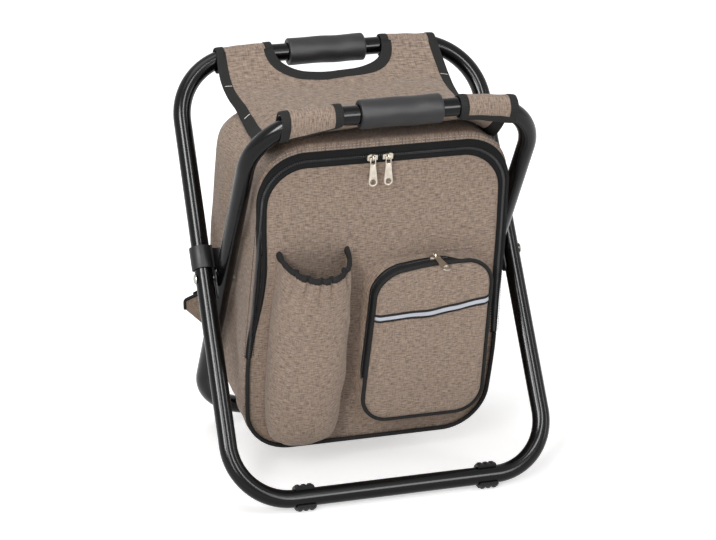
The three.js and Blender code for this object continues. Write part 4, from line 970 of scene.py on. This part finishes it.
def bag_body():
    """Outer cloth of the bag: rings from the zip's edge over the front lip, along the sides and the back.

    Slack in the cloth moves each point along its ring's normal by soft waves, more on the sides. The back is
    a cloth of its own, with rings drawn to its middle.
    """
    lip_round = 3.0
    mouth = moved_out(ZIP_LINE, 0.3)
    lip_share = np.linspace(0, 1, 7)[:, None]
    lip = mouth * (1 - lip_share) + bag_outline(0.0, lip_round) * lip_share
    turn = np.linspace(0, math.pi / 2, 7)[1:]
    edge_depth = lip_round * (1 - np.cos(turn))
    edge = bag_outline(edge_depth, lip_round * (1 - np.sin(turn)))
    depth = np.linspace(lip_round, BAG_DEPTH - BAG_BACK_ROUND, 44)[1:]
    round_rows, round_depth = back_edge(0.0)
    rows = np.vstack([mouth, lip, edge, bag_outline(depth, 0.0), round_rows])
    w = np.concatenate([[1.5], -0.9 * np.sin(math.pi * lip_share[:, 0]), edge_depth, depth, round_depth])
    across, up = rounded_rings(*rows.T)
    nx, nv = ring_normals(across, up)
    deep = w[:, None] * np.ones_like(across)
    run = np.cumsum(np.hypot(np.diff(across, axis=1, prepend=across[:, :1]),
                             np.diff(up, axis=1, prepend=up[:, :1])), axis=1)
    slack = smooth(deep, 2, 30) * smooth(deep, 169, 140)
    folds = 1.1 * ripple(0.22 * run, deep, 30, 31) + 0.8 * ripple(run, deep, 60, 32)
    on_top = smooth(nv, 0.35, 0.9)
    move = slack * (folds * (1 - 0.75 * on_top) + 0.9 * (1 - on_top) - 1.4 * on_top)
    along = np.cumsum(np.hypot(np.diff(w, prepend=w[:1]), np.diff(rows[:, 1], prepend=rows[:1, 1])))
    weave = np.stack(np.broadcast_arrays(along[:, None], run[30]), axis=-1)
    sides = skin(slack_place(across + nx * move, deep, up + nv * move), MELANGE, wrap_columns=True,
                 weave=weave)
    share = np.linspace(0, 1, 26)
    back_x, back_up = rounded_rings(*to_middle(round_rows[-1], share).T)
    dip = 0.5 * (ripple(back_x, back_up, 80, 33) - 1.6) * smooth(share[:, None], 0, 0.15)
    back = skin(slack_place(back_x, BAG_DEPTH + dip, back_up), MELANGE, wrap_columns=True, toward=-FRONT,
                weave=np.stack([back_x, back_up], axis=-1))
    return [sides, back]


def bag_cup(inset, rim, quilt=0.0):
    """One inner layer of the bag: a deep cup open at the front, quilted by soft waves along its normals."""
    depth = np.linspace(rim, BAG_DEPTH - BAG_BACK_ROUND, 20)
    round_rows, round_depth = back_edge(inset, 9)
    back = to_middle(round_rows[-1], np.linspace(0, 1, 18)[1:])
    rows = np.vstack([bag_outline(depth, inset), round_rows, back])
    w = np.concatenate([depth, round_depth, np.full(len(back), round_depth[-1])])
    across, up = rounded_rings(*rows.T)
    nx, nv = ring_normals(across, up)
    deep = w[:, None] * np.ones_like(across)
    calm = smooth(deep, rim, rim + 12) * smooth(deep, 160, 140)
    puff = quilt * (ripple(across + up, deep, 40, 41) - 1.0) * calm
    return bag_place(across + nx * puff, deep, up + nv * puff)


def panel_disc(inset, back, finish, puff=0.0):
    """Front layer inside the zip line: rings from its outline to its middle, with a soft outward swell."""
    share = np.concatenate([[0.0, 0.008, 0.02], np.linspace(0.04, 1.0, 44)])
    across, up = rounded_rings(*to_middle(moved_out(ZIP_LINE, -inset), share).T)
    wave = 0.7 * ripple(across, 0.5 * up, 90, 51) + 0.4 * ripple(across, up, 42, 52)
    wave = wave - corner_drag(across, up)
    swell = puff * panel_swell(across, up) + (puff > 0) * smooth(share[:, None], 0.0, 0.2) * wave
    return skin(slack_place(across, back - swell, up), finish, wrap_columns=True, toward=FRONT,
                weave=np.stack([across, up], axis=-1))


def corner_drag(across, up):
    """Depth of a soft dent that runs down and inwards from each upper corner of the panel, a bell across."""
    in_from, down_from = 112 - np.abs(across), 128 - up
    lean_in, lean_down = 0.56, 0.83
    along = lean_in * in_from + lean_down * down_from
    aside = lean_down * in_from - lean_in * down_from
    deep = np.where(across > 0, 2.4, 1.4)
    return deep * smooth(along, -5, 12) * smooth(along, 75, 30) * np.exp(-(aside / 8) ** 2)


def off_middle(across, up, outline):
    """Distance of a place from an outline's middle, as shares of its half width and half height."""
    left, right, bottom, top = outline[:4]
    a = np.abs(across - (left + right) / 2) / ((right - left) / 2)
    b = np.abs(up - (bottom + top) / 2) / ((top - bottom) / 2)
    return np.clip(a, 0, 1), np.clip(b, 0, 1)


def panel_swell(across, up):
    """How far the front panel stands proud at a place: nothing at the zip, the most in its middle."""
    a, b = off_middle(across, up, ZIP_LINE)
    return (1 - a ** 3) * (1 - b ** 4)


def zip_line(out, over=True, end=ZIP_END):
    """Zip line moved out by a distance: up the left side, over the bag's top and down the right.

    Or else the line that goes on from its ends, down the left side, under the bag's bottom and up the right.
    """
    left, right, bottom, top, radius = moved_out(ZIP_LINE, out)
    far = top if over else bottom
    corners = [(left, end), (left, far), (right, far), (right, end)]
    return rounded_path(corners, radius, closed=False, steps=30)


def on_front(flat, back):
    """Path of the bag's front face at a depth, as places of the stool."""
    return slack_place(flat[:, 0], back, flat[:, 1])


def zip_half(inner):
    """Half of the main zip: tape with a welt beside the coil, coil and seam. Along the bag's top the black
    tape is drawn wider than the real one, partly as painted shade for the shadow beside it.

    The profile is a flat strip plus a bell-shaped welt, and the coil is one small block for each turn.
    """
    sign = 1 if inner else -1
    flat = even(zip_line(0.0), 2.2)
    high_up = flat[:, 1]
    # Painted shade: the widening along the top stands for shade beside the tape as well as the tape itself
    wide = 3.2 + 2.0 * smooth(high_up, ZIP_END, 30) + 2.6 * smooth(high_up, 90, 146)
    if not inner:
        wide = wide + 2.0 * smooth(high_up, 120, 149)
    t = np.linspace(0, 1, 16)
    welt = 1.2 + 1.1 * np.exp(-((t - 0.48) / 0.16) ** 2) - 0.7 * smooth(t, 0.86, 1.0)
    across = sign * (0.4 + t[None] * wide[:, None])
    top = np.stack([across, np.broadcast_to(welt, across.shape)], axis=-1)
    bottom = np.stack([across, np.zeros_like(across)], axis=-1)
    tape = carried(on_front(flat, -0.3), np.concatenate([top, bottom[:, ::-1]], axis=1), FRONT, ZIP_CLOTH)
    coil_path = even(on_front(zip_line(-0.55 * sign), -1.2), 2.4)
    coil_path = coil_path[:-1] if inner else (coil_path[1:] + coil_path[:-1]) / 2
    coil = copies(*small_block(1.35, 2.3, 1.25, 0.6), coil_path, FRONT, COIL)
    seam = stitches(on_front(zip_line(-4.6 * sign), -1.35), FRONT, ZIP_CLOTH, 2.2, 1.0, 0.6)
    return [tape, coil, seam]


def gusset_band():
    """Cloth that joins panel and bag below the zip: a band along the lower zip line, set back in depth."""
    flat = even(zip_line(0.0, False, ZIP_END + 4), 5.0)
    depth = np.linspace(0.6, 9.0, 8)
    return np.stack([on_front(flat, w) for w in depth], axis=0)


piece("bag_body", bag_body(), "bag", ["bag_shell"], wall=CLOTH, merge=True)
piece("bag_foam", [skin(bag_cup(4.4, 8.6), EPE, wrap_columns=True)], "bag", ["bag_insulation"],
      wall=2.4, merge=True)
piece("bag_foil", [skin(bag_cup(7.4, 8.6, 0.5), FOIL, wrap_columns=True)], "bag", ["bag_lining"],
      wall=0.7, merge=True)

lip_rows = []
for out in (11.6, 14.6):
    top_row = even(zip_line(out), 2.0)
    top_row = top_row[top_row[:, 1] > 146]
    lip_rows.append(stitches(on_front(top_row, -1.0), FRONT, PALE_THREAD))
piece("lip_stitching", lip_rows, "bag")

piece("panel_cloth", [panel_disc(0.4, 0.0, MELANGE, PANEL_PUFF)], "front_panel", ["front_panel"],
      wall=CLOTH, merge=True)
piece("panel_foam", [panel_disc(0.6, 2.6, EPE)], "front_panel", ["front_insulation"],
      wall=4.1, merge=True)
piece("panel_foil", [panel_disc(0.6, 7.1, FOIL)], "front_panel", ["front_lining"],
      wall=0.9, merge=True)

piece("zip_half_bag", zip_half(False), "bag", ["zip_tape_bag"])
piece("zip_half_panel", zip_half(True), "front_panel", ["zip_tape_panel"])
gusset = piece("side_gusset", [skin(gusset_band(), MELANGE)], None, wall=0.4, inward=0.0)
tuple(bag_place(0.0, 9.0, -100.0) * MM)
tuple(bag_place(0.0, 0.6, -100.0) * MM)
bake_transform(gusset)

cord = even(zip_line(0.3, False, ZIP_END - 0.3), 2.5)
piece("piping_cord", [carried(on_front(cord, -2.4), round_section(2.3, 14), FRONT, BINDING)], "front_panel",
      ["front_piping"])

for name, _ in SIDES:
    eased_copy(f"zip_slider_{name}", f"zip_slider_{name}", ZINC, 0.45)
    eased_copy(f"zip_pull_{name}", f"zip_pull_{name}", ZINC, 0.3)


# Bottle pocket

BOTTLE_UP = np.array([-182.0, -180.5, -175.0, -156.0, -106.7, -31.5, 15.8, 43.0])
BOTTLE_WIDE = np.array([14.0, 22.5, 33.5, 39.5, 41.5, 41.5, 39.0, 36.5])
BOTTLE_DEEP = np.array([12.0, 19.0, 29.0, 36.0, 41.0, 46.0, 50.0, 51.0])
BOTTLE_BACK = np.array([5.1, 5.1, 5.1, 0.3, 0.3, 0.3, 0.3, 0.3])
BOTTLE_DIP = np.array([0.0, 0.0, 0.0, 0.0, 0.0, 0.0, 4.0, 10.0])
BOTTLE_RIM = 43.0
POUCH_WRAP = math.radians(14)
TUCKS = np.radians([38.0, 76.0, 96.0, 122.0, 148.0])


def bottle_rows(up):
    """Half width, depth, stand-off and rim dip of the pouch at heights, smoothed between its stations."""
    spread = np.linspace(-1, 1, 9)[:, None] * 7.0
    at = np.clip(up[None] + spread, BOTTLE_UP[0], BOTTLE_UP[-1])
    return [np.interp(at, BOTTLE_UP, column).mean(axis=0)[:, None]
            for column in (BOTTLE_WIDE, BOTTLE_DEEP, BOTTLE_BACK, BOTTLE_DIP)]


def bottle_skin(up, angle, out=0.0):
    """Pouch: an arc that bulges forward and draws in behind its widest place, with tucks under the rim.

    Each tuck is a narrow groove whose depth fades below the rim. Slack waves die out at its seat and sides.
    """
    wide, deep, back, dip = bottle_rows(up)
    up = up[:, None]
    draw = POUCH_WRAP * smooth(up, 43, 5)
    groove = sum(np.exp(-((angle - t) / 0.06) ** 2) for t in TUCKS)
    angle = math.pi / 2 + (angle - math.pi / 2) * (math.pi / 2 + draw) / (math.pi / 2 + POUCH_WRAP)
    rise = np.clip((np.sin(angle) + np.sin(draw)) / (1 + np.sin(draw)), 0, 1)
    reach = rise ** 0.85
    slack = smooth(up, -182, -120) * smooth(reach, 0.0, 0.4)
    wave = slack * (0.8 * ripple(46 * angle, up, 80, 61) + 0.3 * ripple(46 * angle, up, 34, 62))
    push = out - 4.0 * groove * smooth(up, -15, 40) * smooth(reach, 0.05, 0.3) + wave
    across = BOTTLE_X + 4.5 * smooth(up, -130, 45) + (wide + push * 0.8) * np.cos(angle)
    w = -back - (deep - back + push) * reach
    return bag_place(across, w, up - dip * reach)


def bottle_pouch():
    """Pouch from its rim to its bottom, closed under by drawing the lowest row to its middle."""
    angle = np.linspace(-POUCH_WRAP, math.pi + POUCH_WRAP, 121)[None]
    up = np.concatenate([np.linspace(BOTTLE_RIM, -150, 76), np.linspace(-153, -182, 20)])
    wall = bottle_skin(up, angle)
    last = wall[-1]
    middle = last.mean(axis=0)
    share = np.linspace(0, 1, 8)[1:, None, None]
    return np.concatenate([wall, last * (1 - share) + middle * share])


def elastic_rim():
    """Gathered elastic: an oval cord along the pocket's rim, its size pulsing along its length."""
    step = 0.55
    angle = np.linspace(-POUCH_WRAP, math.pi + POUCH_WRAP, 220)[None]
    path = even(bottle_skin(np.array([BOTTLE_RIM]), angle, -0.8)[0] + 1.6 * UP, step)
    gone = np.arange(len(path)) * step
    swell = 1 + 0.09 * np.sin(2 * math.pi * gone / 2.9) + 0.06 * ripple(gone, 0 * gone, 9, 71)
    ends = 1 + 0.35 * (smooth(gone, 16, 2) + smooth(gone, gone[-1] - 16, gone[-1] - 2))
    section = round_section(2.8, 14)[None] * (swell * ends)[:, None, None] * np.array([0.85, 1.25])
    return carried(path, section, UP, BINDING)


piece("bottle_pouch", [skin(bottle_pouch(), MELANGE)], "front_panel", ["bottle_pocket"], wall=1.2,
      merge=True)
piece("gathered_elastic", [elastic_rim()], "front_panel", ["bottle_pocket_elastic"])


# Zip pocket

def pocket_outline(inset):
    """The zip pocket's outline moved inwards, its corners kept from closing up."""
    rows = moved_out(POCKET, -np.asarray(inset, float))
    rows[..., 4] = np.maximum(rows[..., 4], 3)
    return rows


def pocket_swell(across, up):
    """How far the pocket's face stands proud: a soft cushion, flat at its edges, with slack waves."""
    a, b = off_middle(across, up, POCKET)
    calm = (1 - a ** 4) * (1 - b ** 4)
    return calm * (1.6 + 0.8 * ripple(across, 0.6 * up, 75, 81) + 0.35 * ripple(across, up, 30, 82))


def pocket_place(across, back, up):
    """A place on the pocket: the further it stands out, the more its upper left leans right and down."""
    out = smooth(-np.asarray(back, float), 0, 20)
    high = smooth(up, -170, 40)
    near = smooth(across, 110, -30)
    corner = smooth(up, -40, 30) * smooth(across, 60, -20)
    return bag_place(across + out * (2.0 + 8.0 * high) * near, back, up - 7.0 * out * corner)


def pocket_skins():
    """Zip pocket: a gusset that stands out from the panel, and a face with a rounded edge and a swell."""
    counts = (26, 16, 26, 16)
    gusset_w = np.linspace(-0.3, -POCKET_DEPTH + POCKET_EDGE, 14)[:, None]
    across, up = rounded_rings(*pocket_outline(np.zeros(len(gusset_w))).T, counts=counts)
    nx, nv = ring_normals(across, up)
    slack = 1.3 * smooth(gusset_w, -1, -8) * smooth(gusset_w, -20, -14)
    sag = slack * (ripple(across + up, gusset_w, 40, 83) - 0.8)
    gusset = skin(pocket_place(across + nx * sag, gusset_w + 0 * across, up + nv * sag), MELANGE,
                  wrap_columns=True)
    turn = np.linspace(0, math.pi / 2, 9)
    edge_w = -POCKET_DEPTH + POCKET_EDGE - POCKET_EDGE * np.sin(turn)
    inner = to_middle(pocket_outline(POCKET_EDGE), np.linspace(0, 1, 30)[1:])
    rows = np.vstack([pocket_outline(POCKET_EDGE * (1 - np.cos(turn))), inner])
    w = np.concatenate([edge_w, np.full(len(inner), -POCKET_DEPTH)])[:, None]
    across, up = rounded_rings(*rows.T, counts=counts)
    front = smooth(w, -POCKET_DEPTH + 5, -POCKET_DEPTH)
    face = skin(pocket_place(across, w - front * pocket_swell(across, up), up), MELANGE, wrap_columns=True,
                toward=FRONT, weave=np.stack([across, up], axis=-1))
    return [gusset, face]


def pocket_zip_line(out):
    """Path up the pocket's left side and along its top."""
    left, right, _, top, radius = POCKET
    corners = [(left - out, -106.0), (left - out, top + out), (right - radius, top + out)]
    return rounded_path(corners, radius + out, closed=False, steps=30)


def side_facing(flat):
    """Outward direction of a clockwise path in the bag's front plane, as a direction of the stool."""
    along = headings(flat)
    return bag_place(-along[:, 1], 0.0, along[:, 0]) - bag_place(0.0, 0.0, 0.0)


def pocket_zip():
    """Zip in the pocket's gusset: tape with two welts, tapered at its ends, and a coil between them."""
    right = POCKET[1]
    flat = even(pocket_zip_line(0.4), 2.0)
    t = np.linspace(-1, 1, 27)
    welt = 1.1 + 0.9 * np.exp(-((np.abs(t) - 0.5) / 0.16) ** 2) - 0.7 * smooth(np.abs(t), 0.88, 1.0)
    profile = np.vstack([np.stack([6 * t, welt], 1), np.stack([6 * t, 0 * t], 1)[::-1]])
    run_out = smooth(flat[:, 0], right - 32, right - 58)
    taper = 0.12 + 0.88 * np.minimum(run_out, smooth(flat[:, 1], -108, -98))
    path = pocket_place(flat[:, 0], -22.0 + 5.5 * run_out, flat[:, 1])
    tape = carried(path, profile[None] * taper[:, None, None], side_facing(flat), ZIP_CLOTH)
    coil_flat = even(pocket_zip_line(1.4), 1.3)
    coil_flat = coil_flat[coil_flat[:, 0] < right - 50]
    coil_path = pocket_place(coil_flat[:, 0], -16.5, coil_flat[:, 1])
    return [tape, copies(*small_block(0.85, 3.0, 1.2, 0.6), coil_path, side_facing(coil_flat), COIL)]


def pocket_edge_line():
    """Path of the pocket's binding, all round the seam of its face."""
    left, right, bottom, top, radius = moved_out(POCKET, 0.3)
    corners = [(left, bottom), (left, top), (right, top), (right, bottom)]
    flat = even(rounded_path(corners, radius, steps=24), 2.5, closed=True)
    return pocket_place(flat[:, 0], -24.4, flat[:, 1])


def silver_strip():
    """Reflective strip across the pocket's face, with a black cord along each edge, riding on its swell.

    It runs from seam to seam in a shallow wave that rises to the right, and turns back at the rounded edges.
    """
    left, right = POCKET[:2]
    across = np.linspace(left + 0.8, right - 0.8, 150)
    rise = -27.8 + 9.3 * smooth(across, 15, 125) + 0.8 * np.sin(across / 17.0)
    past = np.clip(np.maximum(left + POCKET_EDGE - across, across - right + POCKET_EDGE), 0, POCKET_EDGE)
    round_back = POCKET_EDGE - np.sqrt(POCKET_EDGE ** 2 - past ** 2)
    runs = []
    for shift, section, finish in ((0.0, band_section(-2.9, 2.9, 0.8), BEADS),
                                   (3.5, round_section(1.3, 10), BINDING),
                                   (-3.5, round_section(1.3, 10), BINDING)):
        up = rise + shift
        w = -POCKET_DEPTH - pocket_swell(across, up) * smooth(past, 5, 0) - 0.4 + round_back
        runs.append(carried(pocket_place(across, w, up), section, FRONT, finish))
    return runs


piece("pocket_tray", pocket_skins(), "front_panel", ["zip_pocket"], wall=1.2, merge=True)
piece("pocket_zip", pocket_zip(), "front_panel", ["pocket_zip_tape"])
edge_cord = carried(pocket_edge_line(), round_section(2.2, 14), FRONT, BINDING, closed=True)
piece("pocket_edge_binding", [edge_cord], "front_panel", ["pocket_binding"])
piece("silver_strip", silver_strip(), "front_panel", ["reflective_strip"])
row_x, row_up = np.linspace(60.0, 104.0, 30), 33.0
swell = PANEL_PUFF * panel_swell(row_x, row_up) + 1.0
piece("pocket_stitching", [stitches(bag_place(row_x, -swell, row_up), FRONT, PALE_THREAD)],
      "front_panel")
eased_copy("pocket_zip_slider", "pocket_zip_slider", ZINC, 0.45)
eased_copy("pocket_zip_pull", "pocket_zip_pull", ZINC, 0.3)


# Shoulder straps

def strap_slab(side):
    """Strap pad before it swells: rounded outlines stacked from the bag's back outwards, drawn to points.

    The outlines lie a little aside of each other, and the swelling fits them back into the pad's outline.
    """
    middle_x = side * STRAP_X
    outline = moved_out(PAD_OUTLINE, -0.8) + [middle_x, middle_x, 0, 0, 0]
    middle = np.array([middle_x, middle_x, PAD_MIDDLE, PAD_MIDDLE, 0.0])
    aside = np.array([1.0, 1.0, -1.0, -1.0, 0.0])
    share = np.linspace(0, 1, 8)[:-1, None]
    rows = np.vstack([middle * (1 - share) + (outline + 2 * aside) * share,
                      [outline + d * aside for d in (0.6, 0.0, 0.2, 1.5)],
                      middle * share + (outline + 4 * aside) * (1 - share),
                      middle])
    w = np.concatenate([np.full(7, 171.0), [172.0, 174.0, 176.0, 177.6], np.full(8, 178.4)])
    across, up = rounded_rings(*rows.T, counts=(12, 6, 12, 6), corner=6)
    return bag_place(across, w[:, None], up)


def pad_dome(across, up):
    """Depth of a strap pad's face: it rises from under its binding as the square root of the way in.

    The way in is the distance from the pad's rounded outline, for places measured from its middle.
    """
    _, half, bottom, top, corner = PAD_OUTLINE
    beyond = np.stack([np.abs(across) - (half - corner), np.abs(up) - ((top - bottom) / 2 - corner)])
    inside = corner - np.hypot(*np.maximum(beyond, 0)) - np.minimum(beyond.max(axis=0), 0)
    return 173.0 + 9.0 * np.sqrt(np.clip(inside - 1, 0, 20) / 20)


def swell_pad(obj, limit, middle):
    """Blows a pad up like stuffed cloth: even remesh, some frames under pressure, then capped movement.

    Its bound edge holds it, so it grows mostly outwards and is fitted back into its outline. Points that
    would sink into the bag's back are put on it.
    """
    remesh = obj.modifiers.new("even", "REMESH")
    remesh.mode = "VOXEL"
    remesh.voxel_size = 2.2 * MM
    level = obj.modifiers.new("level", "SMOOTH")
    level.factor = 0.5
    level.iterations = 10
    apply_modifiers(obj)
    count = len(obj.data.vertices)
    before = np.empty(count * 3)
    obj.data.vertices.foreach_get("co", before)
    cloth = obj.modifiers.new("stuffed", "CLOTH")
    cloth.settings.use_pressure = True
    cloth.settings.uniform_pressure_force = 4.0
    cloth.settings.effector_weights.gravity = 0.0
    scene, frames = bpy.context.scene, 20
    for step in range(1, frames + 1):
        scene.frame_set(step)
    apply_modifiers(obj)
    scene.frame_set(1)
    after = np.empty(count * 3)
    obj.data.vertices.foreach_get("co", after)
    before, move = before.reshape(-1, 3), (after - before).reshape(-1, 3)
    back = np.array([0, math.cos(BAG_TILT), math.sin(BAG_TILT)])
    move = 0.2 * move + 0.8 * (move @ back)[:, None] * back
    far = np.linalg.norm(move, axis=1, keepdims=True) + 1e-12
    points = before + move * np.minimum(1.0, limit * MM / far)
    start = np.array([0, -BAG_REACH, PIVOT_Z]) * MM
    depth = (points - start) @ back
    points += np.maximum((BAG_DEPTH + 0.3) * MM - depth, 0)[:, None] * back
    rise = np.array([0, -math.sin(BAG_TILT), math.cos(BAG_TILT)])
    left, right, bottom, top, _ = moved_out(PAD_OUTLINE, 0.2)
    for axis, low, high in ((np.array([1.0, 0, 0]), middle + left, middle + right), (rise, bottom, top)):
        along = (points - start) @ axis
        fitted = np.interp(along, [along.min(), along.max()], [low * MM, high * MM])
        points += (fitted - along)[:, None] * axis
    dome = pad_dome(points[:, 0] / MM - middle, (points - start) @ rise / MM - PAD_MIDDLE) * MM
    points -= np.maximum((points - start) @ back - dome, 0)[:, None] * back
    obj.data.vertices.foreach_set("co", points.ravel())
    obj.data.polygons.foreach_set("use_smooth", [True] * len(obj.data.polygons))
    round_off = obj.modifiers.new("round", "SUBSURF")
    round_off.levels = 1
    round_off.render_levels = 1


def apply_modifiers(obj):
    """Takes what the modifiers make as the object's own mesh."""
    graph = bpy.context.evaluated_depsgraph_get()
    made = bpy.data.meshes.new_from_object(obj.evaluated_get(graph))
    finishes = list(obj.data.materials)
    obj.modifiers.clear()
    obj.data = made
    made.materials.clear()
    for finish in finishes:
        made.materials.append(finish)


def strap_edge(side):
    """Binding round a strap pad: a cord along the pad's outline."""
    left, right, bottom, top, corner = PAD_OUTLINE
    corners = np.array([(left, bottom), (right, bottom), (right, top), (left, top)]) + [side * STRAP_X, 0]
    flat = even(rounded_path(corners, corner, steps=14), 2.5, closed=True)
    path = bag_place(flat[:, 0], PAD_DEPTH, flat[:, 1])
    return carried(path, round_section(2.4, 12), FRONT, BINDING, closed=True)


def ladder_buckle(side):
    """Ladder-lock buckle: a flattened bar carried round a rounded frame, and one more across its middle."""
    middle, half_wide, half_high, depth = -20.3, 14.5, 10.0, 172.8
    shares = np.array([(-1, -1), (1, -1), (1, 1), (-1, 1)])
    corners = np.array([side * STRAP_X, middle]) + shares * [half_wide, half_high]
    flat = even(rounded_path(corners, 2.4, steps=8), 1.0, closed=True)
    frame_path = bag_place(flat[:, 0], depth, flat[:, 1])
    bar_path = bag_place(side * STRAP_X + np.linspace(-half_wide, half_wide, 12), depth, middle)
    return [carried(frame_path, band_section(-2.0, 2.0, 4.8), FRONT, PLASTIC, closed=True),
            carried(bar_path, band_section(-2.0, 2.0, 4.2), FRONT, PLASTIC)]


def strap_web(side):
    """Webbing from the buckle down the bag's back to the anchor tab: a flat band along a rounded path."""
    corners = np.array([[STRAP_X, 171.9, -31.0], [STRAP_X, 171.9, -58.0], [104.0, 171.6, -78.0],
                        [157.0, 150.9, -91.0]])
    corners[:, 0] *= side
    path = even(rounded_path(corners, 14.0, closed=False, steps=14), 2.5)
    return carried(bag_place(*path.T), band_section(-12.5, 12.5, 1.7), -FRONT, WEBBING)


def anchor_tab(side):
    """Anchor tab: a stitched triangle, ruled from its long edge at the bag's side to its blunt tip."""
    t = np.linspace(0, 1, 16)[:, None]
    s = np.linspace(0, 1, 14)[None]
    base_x, base_low, base_high = TAB_BASE
    tip_x, tip_low, tip_high = TAB_TIP
    across = base_x * (1 - t) + tip_x * t + 0 * s
    up = (base_low * (1 - s) + base_high * s) * (1 - t) + (tip_low * (1 - s) + tip_high * s) * t
    puff = 0.5 * np.sin(math.pi * t) * np.sin(math.pi * s)
    return bag_place(side * across, 147.0 - puff, up)


def anchor_hem(side):
    """Binding over the anchor tab's upper edge and tip: a cord along the tab's outline."""
    (base_x, _, base_high), (tip_x, tip_low, tip_high) = TAB_BASE, TAB_TIP
    edge = np.array([[base_x, base_high], [tip_x, tip_high], [tip_x - 0.8, tip_low - 1.0]]) * [side, 1]
    flat = rounded_path(edge, 3.0, closed=False, steps=6)
    path = even(bag_place(flat[:, 0], 148.2, flat[:, 1]), 2.0)
    return carried(path, round_section(1.9, 12), FRONT, BINDING)


for name, side in SIDES:
    pad = piece(f"shoulder_pad_{name}", [skin(strap_slab(side), PAD_CLOTH, wrap_columns=True)], "bag",
                [f"strap_pad_{name}"], merge=True)
    swell_pad(pad, 5.0, side * STRAP_X)
    piece(f"pad_binding_{name}", [strap_edge(side)], "bag")
    piece(f"ladder_buckle_{name}", ladder_buckle(side), "bag", [f"strap_buckle_{name}"])
    piece(f"webbing_{name}", [strap_web(side)], "bag", [f"strap_webbing_{name}"])
    piece(f"anchor_tab_{name}", [skin(anchor_tab(side), MELANGE, toward=FRONT)], "bag",
          [f"strap_tab_{name}"], wall=2.2)
    piece(f"anchor_hem_{name}", [anchor_hem(side)], "bag")
